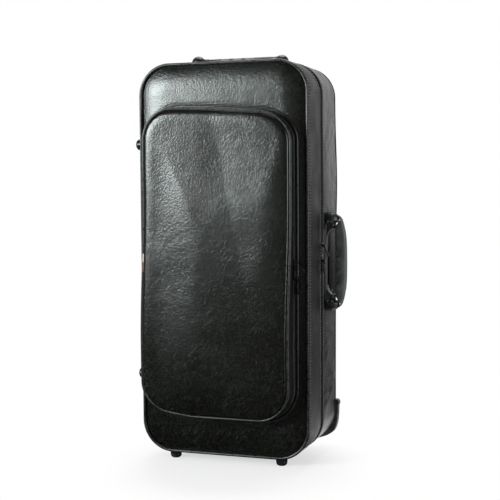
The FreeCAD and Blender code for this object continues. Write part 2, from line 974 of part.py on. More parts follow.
def corner_guard(side):
    """Moulded guard with a strap eye at its top; side is 1 for right and -1 for left."""
    start = body_depth - piping_sink + piping_radius + guard_clearance
    plate = Part.Face(guard_plate_outline(start)).extrude(Vec(0, guard_thickness, 0))
    eye = rod(Vec(guard_eye_x, start, guard_eye_rise), Vec(0, 1, 0), guard_thickness, guard_eye_radius)
    back = back_face_y + seam_clearance
    seat = plate.common(slab(inset(body_outline, guard_pad_inset), start, start + guard_clearance))
    seat_face = [face for face in seat.Faces if abs(face.CenterOfMass.y - start) < seam_clearance / 4]
    pad = seat_face[0].extrude(Vec(0, back - start, 0))
    whole = join([plate, eye, pad])
    hole = rod(Vec(guard_eye_x, start - overrun, guard_eye_rise), Vec(0, 1, 0), far, guard_eye_hole)
    hole_radius = screw_radius + screw_hole_clearance
    screw_hole = rod(Vec(guard_screw_x, 0, guard_screw_rise), Vec(0, 1, 0), far, hole_radius)
    sink = rod(
        Vec(guard_screw_x, start + guard_thickness - screw_head_height, guard_screw_rise),
        Vec(0, 1, 0),
        far,
        screw_head_radius + screw_hole_clearance,
    )
    whole = whole.cut(hole).cut(screw_hole).cut(sink)
    return whole if side > 0 else whole.mirror(Vec(0, 0, 0), Vec(1, 0, 0))


def guard_screws():
    """One sunk screw in each guard."""
    start = body_depth - piping_sink + piping_radius + guard_clearance
    head_y = start + guard_thickness - screw_head_height
    screws = []
    for side in (-1, 1):
        x = side * guard_screw_x
        shank_start = back_face_y + 2 * seam_clearance
        shank = rod(Vec(x, shank_start, guard_screw_rise), Vec(0, 1, 0), head_y - shank_start, screw_radius)
        head = rod(Vec(x, head_y, guard_screw_rise), Vec(0, 1, 0), screw_head_height / 2, screw_head_radius)
        screws.append(join([shank, head]))
    return Part.makeCompound(screws)


# Fitted inside

def inside_outline():
    return inset(body_outline, inside_inset + lining_gap)


def well(flip):
    """Hollow for one trumpet, bell down; flip turns it half round for the other one."""
    x0, x1, z0, z1 = inside_outline()[:-1]
    left = x0 + well_margin
    bottom = z0 + well_end_margin
    top = z1 - well_end_margin
    cone_start = bottom + bell_length
    cone_end = cone_start + cone_length
    y0 = bed_face_y - overrun
    points = [
        Vec(left, y0, bottom),
        Vec(left + bell_width, y0, bottom),
        Vec(left + bell_width, y0, cone_start),
        Vec(left + valve_width, y0, cone_end),
        Vec(left + valve_width, y0, top),
        Vec(left, y0, top),
    ]
    hollow = polygon_prism(points, Vec(0, rear_inside_y - bed_floor - y0, 0))
    upright = [edge for edge in hollow.Edges if edge.BoundBox.YLength > bed_depth / 2]
    hollow = hollow.makeFillet(well_radius, upright)
    if flip:
        hollow.rotate(Vec(0, 0, body_height / 2), Vec(0, 1, 0), 2 * quarter_turn)
    return hollow


def foam_bed():
    """Plush-covered foam with a hollow for each trumpet and notches for the handle plates."""
    block = slab(inside_outline(), bed_face_y, rear_inside_y)
    for tool in [well(False), well(True)] + handle_recesses():
        block = block.cut(tool)
    return block


def hold_down_strap(share):
    """Hook-and-loop strap lying across the bed."""
    x0, x1, z0, z1 = inside_outline()[:-1]
    z = z0 + (z1 - z0) * share
    y1 = bed_face_y - strap_lift
    return box(
        x0 + lining_gap,
        x1 - lining_gap,
        y1 - strap_thickness,
        y1,
        z - strap_width / 2,
        z + strap_width / 2,
    )


def strap_patch(share):
    """Hook patch that closes the strap at its right end."""
    x0, x1, z0, z1 = inside_outline()[:-1]
    z = z0 + (z1 - z0) * share
    y1 = bed_face_y - 2 * strap_lift - strap_thickness
    end = x1 - lining_gap - strap_hook_thickness
    half = strap_width / 2 - strap_hook_thickness
    return box(end - strap_end_length, end, y1 - strap_hook_thickness, y1, z - half, z + half)


def strap_patches():
    return Part.makeCompound([strap_patch(strap_low_share), strap_patch(strap_high_share)])


def mouthpiece_block():
    """Padded block with two bores for mouthpieces, glued to the bed above the bells."""
    y1 = bed_face_y
    middle = body_height / 2
    block = box(
        -mouthpiece_block_width / 2,
        mouthpiece_block_width / 2,
        y1 - mouthpiece_block_height,
        y1,
        middle - mouthpiece_block_length / 2,
        middle + mouthpiece_block_length / 2,
    )
    for side in (-1, 1):
        bore = rod(
            Vec(0, y1 - mouthpiece_block_height - overrun, middle + side * mouthpiece_pitch / 2),
            Vec(0, 1, 0),
            overrun + mouthpiece_bore_depth,
            mouthpiece_bore_radius,
        )
        block = block.cut(bore)
    return block


def handle_nodes(name, place, rest):
    """The five pieces of one handle, each under the handle's name."""
    return {
        name + "_handle_base": place(handle_base()),
        name + "_handle_grip": place(rest(handle_grip())),
        name + "_handle_pins": place(handle_pins()),
        name + "_handle_backplate": place(handle_backplate()),
        name + "_handle_screws": place(handle_screws()),
    }


def all_nodes():
    """Every piece of the case by name, in the modelling frame."""
    nodes = {
        "lid_front_cover": lid_front_skin(),
        "lid_side_cover": lid_side_skin(),
        "lid_board": lid_board(),
        "lid_frame": lid_frame(),
        "lid_pad": lid_pad(),
        "rear_side_cover": rear_side_skin(),
        "rear_back_cover": rear_back_skin(),
        "rear_board": rear_board(),
        "rear_frame": rear_frame(),
        "front_edge_piping": front_edge_piping(),
        "rear_edge_piping": rear_edge_piping(),
        "main_zip_lid_half": zip_half(-1),
        "main_zip_rear_half": zip_half(1),
        "hinge_leaf_lid": hinge_leaf(-1),
        "hinge_leaf_rear": hinge_leaf(1),
        "pocket_panel_fixed": pocket_panel_fixed(),
        "pocket_panel_flap": pocket_panel_flap(),
        "pocket_front_cord_fixed": pocket_front_cord().common(left_of_fold()),
        "pocket_front_cord_flap": pocket_front_cord().common(right_of_fold()),
        "pocket_wall_fixed": pocket_wall_fixed(),
        "pocket_wall_flap": pocket_wall_flap(),
        "pocket_base_band": pocket_base_band(),
        "pocket_base_cord": pocket_base_cord(),
        "pocket_zip_flap_half": pocket_zip_half(-1),
        "pocket_zip_base_half": pocket_zip_half(1),
        "pocket_seam_tab": pocket_tab(),
        "corner_guard_right": corner_guard(1),
        "corner_guard_left": corner_guard(-1),
        "corner_guard_screws": guard_screws(),
        "foam_bed": foam_bed(),
        "hold_down_strap_lower": hold_down_strap(strap_low_share),
        "hold_down_strap_upper": hold_down_strap(strap_high_share),
        "strap_hook_patches": strap_patches(),
        "mouthpiece_block": mouthpiece_block(),
        "foot_front_right": bottom_foot(foot_x, foot_front_y),
        "foot_front_left": bottom_foot(-foot_x, foot_front_y),
        "foot_rear_right": bottom_foot(foot_x, foot_rear_y),
        "foot_rear_left": bottom_foot(-foot_x, foot_rear_y),
        "stud_lid_upper": side_stud(stud_y, stud_high_z),
        "stud_lid_lower": side_stud(stud_y, stud_low_z),
        "stud_rear_upper": side_stud(stud_rear_y, stud_high_z),
        "stud_rear_lower": side_stud(stud_rear_y, stud_low_z),
    }
    for upper in (True, False):
        word = "upper" if upper else "lower"
        flip = not upper
        main_tilt = main_slider_upper_tilt if upper else 0.0
        pocket_tilt = pocket_slider_upper_tilt if upper else 0.0
        main_place = main_slider_place(upper)
        pocket_place = pocket_slider_place(upper)
        nodes["main_slider_" + word] = placed(slider(flip), main_place)
        nodes["main_pull_" + word] = placed(pull(main_pull_length, flip, main_tilt), main_place)
        nodes["pocket_slider_" + word] = placed(slider(flip), pocket_place)
        pocket_length = pocket_upper_pull_length if upper else pocket_pull_length
        nodes["pocket_pull_" + word] = placed(pull(pocket_length, flip, pocket_tilt), pocket_place)
    nodes.update(handle_nodes("side", on_side, lambda shape: shape))
    nodes.update(handle_nodes("top", on_top, folded))
    return nodes


def row_offset():
    """Move from the modelling frame to the frame with its origin on the floor under the middle."""
    left = -half_width - foot_height
    right = half_width + grip_reach
    front = pocket_face_y - pocket_panel_thickness - pocket_crown
    back = body_depth - piping_sink + piping_radius + guard_clearance + guard_thickness
    return Vec(-(left + right) / 2, -(front + back) / 2, foot_height)


def main():
    os.makedirs("parts", exist_ok=True)
    move = row_offset()
    for name, shape in all_nodes().items():
        shape.translate(move)
        shape.exportStep(os.path.join("parts", name + ".step"))
        print(name, len(shape.Solids), shape.isValid(), round(shape.Volume, 1))


if __name__ == "__main__":
    main()
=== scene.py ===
"""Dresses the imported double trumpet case: leather, piping, zips, handles, feet, guards and plush inside."""

import math

import bmesh
import bpy
import numpy as np
from bpy.props import FloatProperty, FloatVectorProperty, PointerProperty
from mathutils import Matrix, Vector, noise


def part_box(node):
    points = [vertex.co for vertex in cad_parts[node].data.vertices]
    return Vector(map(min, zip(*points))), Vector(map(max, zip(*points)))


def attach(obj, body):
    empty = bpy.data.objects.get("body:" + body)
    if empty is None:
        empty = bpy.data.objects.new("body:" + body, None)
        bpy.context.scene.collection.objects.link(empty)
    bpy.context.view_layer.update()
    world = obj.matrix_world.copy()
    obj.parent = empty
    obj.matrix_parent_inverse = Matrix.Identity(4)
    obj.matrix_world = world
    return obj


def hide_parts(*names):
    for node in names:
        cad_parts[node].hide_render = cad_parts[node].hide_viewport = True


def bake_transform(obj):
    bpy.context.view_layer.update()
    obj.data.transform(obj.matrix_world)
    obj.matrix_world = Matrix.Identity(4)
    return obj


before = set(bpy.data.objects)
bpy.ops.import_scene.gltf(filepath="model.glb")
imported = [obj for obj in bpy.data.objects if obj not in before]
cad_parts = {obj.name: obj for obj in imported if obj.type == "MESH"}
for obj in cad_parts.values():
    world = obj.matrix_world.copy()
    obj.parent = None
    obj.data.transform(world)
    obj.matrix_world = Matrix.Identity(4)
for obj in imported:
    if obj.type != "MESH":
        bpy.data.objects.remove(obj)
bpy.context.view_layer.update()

bl_info = {
    "name": "Trumpet Case Dresser",
    "version": (1, 0, 0),
    "blender": (4, 5, 0),
    "location": "3D View > Sidebar > Case",
    "description": "Builds the leather, zips, fittings and lining around a packed case",
    "category": "Object",
}

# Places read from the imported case: its middle, its underside and the lid's front face
LID_LOW, LID_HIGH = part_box("lid_side_cover")
LID_DEPTH = 0.065
MIDDLE_X = (LID_LOW[0] + LID_HIGH[0]) / 2
FRONT_Y = LID_HIGH[1] - LID_DEPTH
UNDER_Z = LID_LOW[2]
HALF_WIDTH = (LID_HIGH[0] - LID_LOW[0]) / 2
HEIGHT = LID_HIGH[2] - LID_LOW[2]
REAR_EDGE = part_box("rear_side_cover")[0][1] - FRONT_Y
BODY_DEPTH = 0.1525
ZIP_Y = (LID_DEPTH + REAR_EDGE) / 2

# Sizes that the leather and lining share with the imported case
CORNER = 0.0469
SKIN = 0.0016
FRAME_INSET = 0.00175
INSIDE_INSET = 0.00795
LINING_INSET = 0.00825
PANEL_INSET = 0.003
PANEL_CALM = 0.03
PIPING_INSET = 0.0016
PIPING_SINK = 0.0008
FRONT_BOARD_Y = 0.0032
LID_FRAME_END = 0.0615
REAR_FRAME_START = 0.0745
REAR_BOARD_Y = 0.1493
REAR_INSIDE_Y = 0.1448
LID_INSIDE_Y = 0.0077
BED_FACE_Y = 0.0918

POCKET_HALF = 0.1115
POCKET_LOW = 0.0635
POCKET_HIGH = 0.5115
POCKET_CORNER = 0.045
POCKET_BASE_HALF = 0.1125
POCKET_BASE_LOW = 0.057
POCKET_BASE_HIGH = 0.517
POCKET_BASE_CORNER = 0.049
POCKET_DEPTH = 0.030
POCKET_FOLD_X = -0.050
POCKET_ZIP_Y = -0.0095
POCKET_ZIP_SHARE = 1.0 + POCKET_ZIP_Y / POCKET_DEPTH
POCKET_BASE_INSET = -0.0022

HANDLE_PIVOT = 0.0088
TOP_HANDLE_DIP = -1.3
TOP_GRIP_LAID = -87.5
PIPING_RADIUS = 0.0022
POCKET_PIPING_RADIUS = 0.0020
BAND_SPACING = 0.003
LINING_SPACING = 0.004


def at(x, y, z):
    """A place given from the case's middle, front face and underside."""
    return Vector((MIDDLE_X + x, FRONT_Y + y, UNDER_Z + z))


def centre(node):
    """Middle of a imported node's box."""
    low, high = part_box(node)
    return (Vector(low) + Vector(high)) / 2


def ease(share):
    """Smooth step from 0 to 1."""
    return share * share * (3 - 2 * share)


def clamp(value):
    """A number kept between 0 and 1."""
    return min(1.0, max(0.0, value))


def circle(sides):
    """Cosine and sine of evenly spaced directions all round."""
    turns = [2 * math.pi * k / sides for k in range(sides)]
    return [(math.cos(turn), math.sin(turn)) for turn in turns]


def arc(x, y, wide, tall, start, end, steps):
    """Points along part of an ellipse round a place, between two angles in degrees."""
    turns = [math.radians(start + (end - start) * k / steps) for k in range(steps + 1)]
    return [(x + wide * math.cos(turn), y + tall * math.sin(turn)) for turn in turns]


# Shapes

def link(mesh, name, material):
    """Object with one material, shaded smooth."""
    thing = bpy.data.objects.new(name, mesh)
    bpy.context.scene.collection.objects.link(thing)
    mesh.materials.append(material)
    mesh.polygons.foreach_set("use_smooth", [True] * len(mesh.polygons))
    return thing


def build(name, points, faces, material, uvs=None):
    """Mesh object from points, faces and an optional place on the cloth for each point, in metres."""
    mesh = bpy.data.meshes.new(name)
    mesh.from_pydata([tuple(p) for p in np.asarray(points).reshape(-1, 3)], [], [tuple(f) for f in faces])
    mesh.validate()
    if uvs is not None:
        layer = mesh.uv_layers.new(name="cloth")
        corner_points = np.empty(len(mesh.loops), dtype=np.int64)
        mesh.loops.foreach_get("vertex_index", corner_points)
        layer.data.foreach_set("uv", np.asarray(uvs).reshape(-1, 2)[corner_points].ravel())
    face_outwards(mesh)
    return link(mesh, name, material)


def face_outwards(mesh):
    """Turns every face of a closed mesh outwards."""
    work = bmesh.new()
    work.from_mesh(mesh)
    bmesh.ops.recalc_face_normals(work, faces=work.faces)
    work.to_mesh(mesh)
    work.free()


def grid_faces(rows, columns, wrap_rows, wrap_columns, start=0):
    """Quads over a grid of points numbered row by row."""
    faces = []
    for row in range(rows if wrap_rows else rows - 1):
        following = (row + 1) % rows
        for column in range(columns if wrap_columns else columns - 1):
            beside = (column + 1) % columns
            faces.append((
                start + row * columns + column,
                start + row * columns + beside,
                start + following * columns + beside,
                start + following * columns + column,
            ))
    return faces


def tube_faces(rows, columns):
    """Faces of a closed tube: a wrapped grid and a cap at both ends."""
    caps = [tuple(range(columns))[::-1], tuple(range((rows - 1) * columns, rows * columns))]
    return grid_faces(rows, columns, False, True) + caps


def sheet_faces(rows, columns):
    """Faces of a closed sheet: a grid of points, the same grid again beneath it, and the rim between them."""
    count = rows * columns
    faces = grid_faces(rows, columns, False, False)
    faces += [face[::-1] for face in grid_faces(rows, columns, False, False, count)]
    rim = [(0, c) for c in range(columns)] + [(r, columns - 1) for r in range(1, rows)]
    rim += [(rows - 1, c) for c in range(columns - 2, -1, -1)] + [(r, 0) for r in range(rows - 2, 0, -1)]
    numbers = [r * columns + c for r, c in rim]
    for here, following in zip(numbers, numbers[1:] + numbers[:1]):
        faces.append((here, here + count, following + count, following))
    return faces


def walk(half, low, high, radius, spacing):
    """Places, outward directions and distances along a rounded rectangle, from the middle of its left side down."""
    middle = (low + high) / 2
    left, right = -half + radius, half - radius
    quarter = math.pi * radius / 2
    runs = [
        ("line", (-half, middle), (-half, low + radius), (-1, 0)),
        ("arc", (left, low + radius), math.pi, None),
        ("line", (left, low), (right, low), (0, -1)),
        ("arc", (right, low + radius), 1.5 * math.pi, None),
        ("line", (half, low + radius), (half, high - radius), (1, 0)),
        ("arc", (right, high - radius), 0.0, None),
        ("line", (right, high), (left, high), (0, 1)),
        ("arc", (left, high - radius), 0.5 * math.pi, None),
        ("line", (-half, high - radius), (-half, middle), (-1, 0)),
    ]
    parts, travelled = [], 0.0
    for kind, first, second, facing in runs:
        if kind == "line":
            length = math.dist(first, second)
            count = max(1, round(length / spacing))
            for k in range(count):
                t = k / count
                parts.append((
                    first[0] + (second[0] - first[0]) * t,
                    first[1] + (second[1] - first[1]) * t,
                    facing[0], facing[1], travelled + length * t,
                ))
            travelled += length
        else:
            count = max(4, round(quarter / spacing))
            for k in range(count):
                angle = second + math.pi / 2 * k / count
                c, s = math.cos(angle), math.sin(angle)
                parts.append((first[0] + radius * c, first[1] + radius * s, c, s, travelled + quarter * k / count))
            travelled += quarter
    table = np.array(parts)
    return table[:, 0:2], table[:, 2:4], table[:, 4], travelled


def ring_points(places, facing, out, back):
    """Grid of points: each place moved outwards and to the back, by rows of the two tables."""
    x = places[:, 0:1] + facing[:, 0:1] * out
    z = places[:, 1:2] + facing[:, 1:2] * out
    y = np.broadcast_to(back, x.shape)
    return np.stack([x + MIDDLE_X, y + FRONT_Y, z + UNDER_Z], axis=-1)


def crumple(points, scale, seed, octaves=4):
    """Smooth unevenness between about -1 and 1 at each point."""
    shift = Vector((seed * 1.7, seed * 3.1, seed * 5.3))
    values = [noise.fractal(Vector(place) * scale + shift, 1.0, 2.0, octaves) for place in points.reshape(-1, 3)]
    return np.array(values).reshape(points.shape[:-1])


def skirt(name, outline, spacing, profile, material, unevenness=0.0, scale=30.0, seed=0, keep=None):
    """Band that follows a rounded rectangle; profile is a closed loop of (outwards, back) pairs."""
    places, facing, along = walk(*outline, spacing)[:3]
    if keep is not None:
        inside = keep(places[:, 0], places[:, 1])
        kept = slice(int(np.argmax(inside)), len(inside) - int(np.argmax(inside[::-1])))
        places, facing, along = places[kept], facing[kept], along[kept]
    loop = np.array(profile)
    out = np.broadcast_to(loop[:, 0], (len(places), len(loop))).copy()
    back = np.broadcast_to(loop[:, 1], (len(places), len(loop))).copy()
    points = ring_points(places, facing, out, back)
    if unevenness:
        fade = 0.006
        lift = crumple(points, scale, seed) * unevenness
        edge = np.minimum(back - back.min(), back.max() - back)
        points = ring_points(places, facing, out + lift * np.clip(edge / fade, 0.0, 1.0), back)
    rows, columns = points.shape[:2]
    faces = grid_faces(rows, columns, True, True) if keep is None else tube_faces(rows, columns)
    travelled = np.concatenate([[0.0], np.cumsum(np.linalg.norm(np.diff(loop, axis=0), axis=1))])
    uvs = np.stack(np.broadcast_arrays(along[:, None], travelled[None, :]), axis=-1)
    return build(name, points, faces, material, uvs)


def band_profile(start, end, outer, thickness, steps, bulge=0.0, tuck=0.0, grooves=()):
    """Closed loop for a leather band: bulged outside, tucked edges, and a shallow groove at each stitch row."""
    tuck_reach, groove_depth, groove_half = 0.0012, 0.0008, 0.0010
    loop = []
    for k in range(steps + 1):
        t = k / steps
        y = start + (end - start) * t
        lift = outer + bulge * math.sin(math.pi * t)
        near = min(t, 1 - t) * abs(end - start)
        lift -= tuck * math.exp(-near / tuck_reach)
        for groove in grooves:
            lift -= groove_depth * math.exp(-((y - groove) / groove_half) ** 2)
        loop.append((lift, y))
    return loop + [(outer - thickness, end), (outer - thickness, start)]


def tube(name, outline, y, radius, material, seed):
    """Piping: a leather-covered cord that follows a rounded rectangle, with small dents."""
    profile = [(radius * c, y + radius * s) for c, s in circle(14)]
    return skirt(name, outline, BAND_SPACING, profile, material, unevenness=0.00012, scale=160.0, seed=seed)


def panel_grid(half, low, high, radius, spacing):
    """Even grid that fills a rounded rectangle: X and Z of each point, and its distance from the edge."""
    arc_steps = 14
    turns = [math.pi / 2 * k / arc_steps for k in range(arc_steps + 1)]
    straight = high - low - 2 * radius
    count = round(straight / spacing)
    heights = [low + radius - radius * math.cos(turn) for turn in turns[:-1]]
    heights += [low + radius + straight * k / count for k in range(count + 1)]
    heights += [high - radius + radius * math.sin(turn) for turn in turns[1:]]
    across = np.linspace(-1.0, 1.0, 2 * round(half / spacing) + 1)
    z = np.array(heights)
    over = np.maximum(np.maximum(low + radius - z, z - high + radius), 0.0)
    width = half - radius + np.sqrt(np.maximum(radius ** 2 - over ** 2, 0.0))
    grid_x = across[None, :] * width[:, None]
    grid_z = np.broadcast_to(z[:, None], grid_x.shape)
    return grid_x, grid_z, edge_distance(grid_x, grid_z, half, low, high, radius)


def edge_distance(x, z, half, low, high, radius):
    """How far inside a rounded rectangle each point lies."""
    dx = np.abs(x) - (half - radius)
    dz = np.abs(z - (low + high) / 2) - ((high - low) / 2 - radius)
    outside = np.hypot(np.maximum(dx, 0), np.maximum(dz, 0)) + np.minimum(np.maximum(dx, dz), 0)
    return radius - outside


def upright(x, z, depth):
    """Points of an upright grid at one depth or a table of depths."""
    return np.stack([x, np.broadcast_to(depth, x.shape), z], axis=-1)


def closed_sheet(name, x, z, front, back, material, origin=(0.0, 0.0, 0.0)):
    """Sheet over an upright grid between two tables of depths."""
    points = np.concatenate([upright(x, z, depth).reshape(-1, 3) for depth in (front, back)]) + origin
    uvs = np.tile(np.stack([x, z], -1).reshape(-1, 2), (2, 1))
    return build(name, points, sheet_faces(*x.shape), material, uvs)


def slab(name, x, z, front, back, material):
    """Closed pad over a panel grid, given from the case's middle, front face and underside."""
    return closed_sheet(name, x, z, front, back, material, (MIDDLE_X, FRONT_Y, UNDER_Z))


def scatter(name, template, places, material):
    """One mesh of many copies; each place is (origin, long direction, outward direction)."""
    corners, faces = template
    corners = np.array(corners)
    points, quads = [], []
    for index, (origin, long_way, outward) in enumerate(places):
        a = np.array(long_way) / np.linalg.norm(long_way)
        c = np.array(outward) / np.linalg.norm(outward)
        b = np.cross(c, a)
        turned = corners @ np.array([a, b, c]) + np.array(origin)
        points.append(turned)
        quads += [tuple(v + index * len(corners) for v in face) for face in faces]
    return build(name, np.concatenate(points), quads, material)


def pill(length, width, height):
    """Template for a stitch or tooth: a short rounded bar along its first axis."""
    sides = 6
    stations = [(-0.5, 0.35), (-0.38, 0.85), (0.0, 1.0), (0.38, 0.85), (0.5, 0.35)]
    corners = [
        (share * length, swell * width / 2 * c, swell * height / 2 * s)
        for share, swell in stations for c, s in circle(sides)]
    return corners, tube_faces(len(stations), sides)


def ring_frames(outline, pitch, out, y, keep=None, phase=0.0):
    """Places for stitches or teeth that lie across a band round a rounded rectangle."""
    step = 0.0008
    places, facing, along, total = walk(*outline, step)
    count = int(total / pitch)
    frames = []
    for k in range(count):
        index = min(int(np.searchsorted(along, (k + phase) * total / count)), len(along) - 1)
        (px, pz), (nx, nz) = places[index], facing[index]
        if keep is None or keep(px, pz):
            frames.append((at(px + nx * out, y, pz + nz * out), (0.0, 1.0, 0.0), (nx, 0.0, nz)))
    return frames


def lathe(profile, steps):
    """Points and faces of a turned form; profile holds (radius, height) pairs from rim to top."""
    points = [(radius * c, radius * s, height) for radius, height in profile for c, s in circle(steps)]
    return points, tube_faces(len(profile), steps)


def turn_to(axis, origin):
    """Matrix that stands a turned form on a place along an axis."""
    return Matrix.Translation(origin) @ Vector(axis).to_track_quat("Z", "Y").to_matrix().to_4x4()


def settle_points(thing, shift):
    """Moves each point of a piece by what shift gives for its place in the case."""
    for vertex in thing.data.vertices:
        x, y, z = vertex.co
        vertex.co += Vector(shift(x - MIDDLE_X, y - FRONT_Y, z - UNDER_Z))
    return thing


def prism(outline, low, high):
    """Points and faces of a flat plate: a closed outline of (x, y) between two heights."""
    count = len(outline)
    points = [(x, y, low) for x, y in outline] + [(x, y, high) for x, y in outline]
    faces = [tuple(range(count))[::-1], tuple(range(count, 2 * count))]
    for k in range(count):
        beside = (k + 1) % count
        faces.append((k, beside, beside + count, k + count))
    return points, faces


def soften(thing, width, segments=3, angle=35.0):
    """Rounds the hard edges of a moulded or cast piece for good."""
    bevel = thing.modifiers.new("edge_round", "BEVEL")
    bevel.width = width
    bevel.segments = segments
    bevel.limit_method = "ANGLE"
    bevel.angle_limit = math.radians(angle)
    bevel.harden_normals = False
    graph = bpy.context.evaluated_depsgraph_get()
    mesh = bpy.data.meshes.new_from_object(thing.evaluated_get(graph))
    old = thing.data
    thing.modifiers.clear()
    thing.data = mesh
    mesh.name = old.name
    return thing


def gather(name, things):
    """Joins pieces of one material into one mesh object."""
    mesh = bpy.data.meshes.new(name)
    points, faces = [], []
    for thing in things:
        start = len(points)
        points += [tuple(thing.matrix_world @ v.co) for v in thing.data.vertices]
        faces += [tuple(i + start for i in p.vertices) for p in thing.data.polygons]
    material = things[0].data.materials[0]
    mesh.from_pydata(points, [], faces)
    for thing in things:
        bpy.data.objects.remove(thing, do_unlink=True)
    face_outwards(mesh)
    return link(mesh, name, material)


def own(thing, body, slot, *nodes):
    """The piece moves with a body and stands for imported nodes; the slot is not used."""
    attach(thing, body)
    if nodes:
        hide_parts(*nodes)
    return thing


# Materials

class Nodes:
    """A node tree being put together."""

    def __init__(self, owner):
        owner.use_nodes = True
        self.tree = owner.node_tree
        self.tree.nodes.clear()

    def add(self, kind, inputs, **settings):
        """Adds a node; each input takes a constant or another node's output."""
        node = self.tree.nodes.new(kind)
        for key, value in settings.items():
            setattr(node, key, value)
        for name, value in inputs.items():
            self.feed(node.inputs[name], value)
        return node

    def feed(self, socket, value):
        """Gives a socket a constant or links an output to it."""
        if isinstance(value, bpy.types.NodeSocket):
            self.tree.links.new(value, socket)
        else:
            socket.default_value = value

    def remap(self, value, low, high, to_low=0.0, to_high=1.0):
        """Smooth step of a value from one range to another."""
        return self.add("ShaderNodeMapRange", {
            "From Min": low, "From Max": high, "To Min": to_low, "To Max": to_high, "Value": value,
        }, interpolation_type="SMOOTHSTEP").outputs["Result"]

    def combine(self, operation, first, second):
        """Arithmetic on two values."""
        return self.add("ShaderNodeMath", {0: first, 1: second}, operation=operation).outputs["Value"]

    def mix(self, factor, first, second):
        """One shader or another."""
        return self.add("ShaderNodeMixShader", {"Fac": factor, 1: first, 2: second}).outputs["Shader"]

    def part(self, vector, name):
        """One part of a place."""
        return self.add("ShaderNodeSeparateXYZ", {"Vector": vector}).outputs[name]


class Finish(Nodes):
    """A material being put together: most methods add a node and give its output."""

    def __init__(self, name):
        self.material = bpy.data.materials.get(name) or bpy.data.materials.new(name)
        super().__init__(self.material)
        self.shader = self.add("ShaderNodeBsdfPrincipled", {})
        self.add("ShaderNodeOutputMaterial", {"Surface": self.shader.outputs["BSDF"]})
        self.place = self.add("ShaderNodeTexCoord", {}).outputs["Object"]
        self.height = None

    def cloth(self):
        """Place on the cloth in metres, for weaves."""
        return self.add("ShaderNodeUVMap", {}, uv_map="cloth").outputs["UV"]

    def stretched(self, scale):
        """Place scaled along its axes."""
        return self.add("ShaderNodeMapping", {"Scale": scale, "Vector": self.place}).outputs["Vector"]

    def noise(self, scale, detail=4.0, roughness=0.5, distortion=0.0, vector=None):
        """Soft noise, around the object's own place unless another is given."""
        return self.add("ShaderNodeTexNoise", {
            "Scale": scale, "Detail": detail, "Roughness": roughness, "Distortion": distortion,
            "Vector": self.place if vector is None else vector}).outputs["Fac"]

    def strokes(self, angle, stretch, scale, low, high):
        """Hair-fine strokes that lean at an angle in the upright plane."""
        turned = self.add("ShaderNodeMapping", {
            "Rotation": (0.0, math.radians(angle), 0.0), "Scale": (1.0, 1.0, stretch), "Vector": self.place,
        }, vector_type="TEXTURE").outputs["Vector"]
        return self.remap(self.noise(scale, 3.0, 0.6, 0.8, turned), low, high)

    def wave(self, scale, direction, vector, distortion=0.0):
        """Regular stripes."""
        return self.add("ShaderNodeTexWave", {
            "Scale": scale, "Distortion": distortion, "Vector": vector}, bands_direction=direction).outputs["Fac"]

    def weave(self, scale):
        """Plain weave in the cloth's own directions."""
        cloth = self.cloth()
        return self.combine("MAXIMUM", self.wave(scale, "X", cloth), self.wave(scale, "Y", cloth))

    def tint(self, factor, low, high):
        """Colour between two, by a factor."""
        node = self.add("ShaderNodeMix", {}, data_type="RGBA")
        for name, kind, value in (("Factor", "VALUE", factor), ("A", "RGBA", (*low, 1.0)), ("B", "RGBA", (*high, 1.0))):
            self.feed([s for s in node.inputs if s.name == name and s.type == kind][0], value)
        self.feed(self.shader.inputs["Base Color"], [s for s in node.outputs if s.type == "RGBA"][0])

    def relief(self, height, distance, strength=1.0):
        """Adds a layer of bump over those already there."""
        below = {} if self.height is None else {"Normal": self.height}
        node = self.add("ShaderNodeBump", {"Distance": distance, "Strength": strength, "Height": height, **below})
        self.height = node.outputs["Normal"]
        self.feed(self.shader.inputs["Normal"], self.height)

    def rough(self, value):
        """Roughness of the surface."""
        self.feed(self.shader.inputs["Roughness"], value)

    def set(self, **sockets):
        """Sets constants on the shader's own sockets."""
        for name, value in sockets.items():
            self.shader.inputs[name.replace("_", " ")].default_value = value


def leather(name, low, high, rough_low, rough_high, gloss, creases, hairs):
    """Glossy leather: pebbled grain, broad soft folds and hair-fine crackle in drifting patches."""
    finish = Finish(name)
    folds = finish.noise(9.0, 3.0, 0.5, 0.4)
    crumples = finish.noise(30.0, 4.0, 0.55, 0.8)
    grain = finish.noise(380.0, 2.5, 0.55)
    first = finish.strokes(38.0, 6.0, 620.0, 0.45, 0.76)
    second = finish.strokes(-24.0, 5.0, 580.0, 0.47, 0.78)
    third = finish.strokes(72.0, 5.0, 540.0, 0.49, 0.80)
    here = finish.remap(crumples, 0.38, 0.60)
    there = finish.remap(crumples, 0.58, 0.40)
    strokes = finish.combine(
        "MAXIMUM", finish.combine("MULTIPLY", first, here), finish.combine("MULTIPLY", second, there))
    strokes = finish.combine("MAXIMUM", strokes, finish.combine("MULTIPLY", third, finish.remap(folds, 0.45, 0.62)))
    speck = finish.combine("MULTIPLY", finish.remap(grain, 0.42, 0.75), 0.45)
    finish.tint(finish.combine("MAXIMUM", strokes, speck), low, high)
    uneven = finish.combine("ADD", folds, finish.combine("MULTIPLY", strokes, 0.25))
    finish.rough(finish.remap(uneven, 0.35, 0.75, rough_low, rough_high))
    finish.relief(folds, 0.0030 * creases, 0.5)
    finish.relief(crumples, 0.0008 * creases, 0.5)
    finish.relief(strokes, 0.00004 * hairs, 0.7)
    finish.relief(grain, 0.00036, 0.9)
    finish.set(Specular_IOR_Level=gloss)
    return finish.material


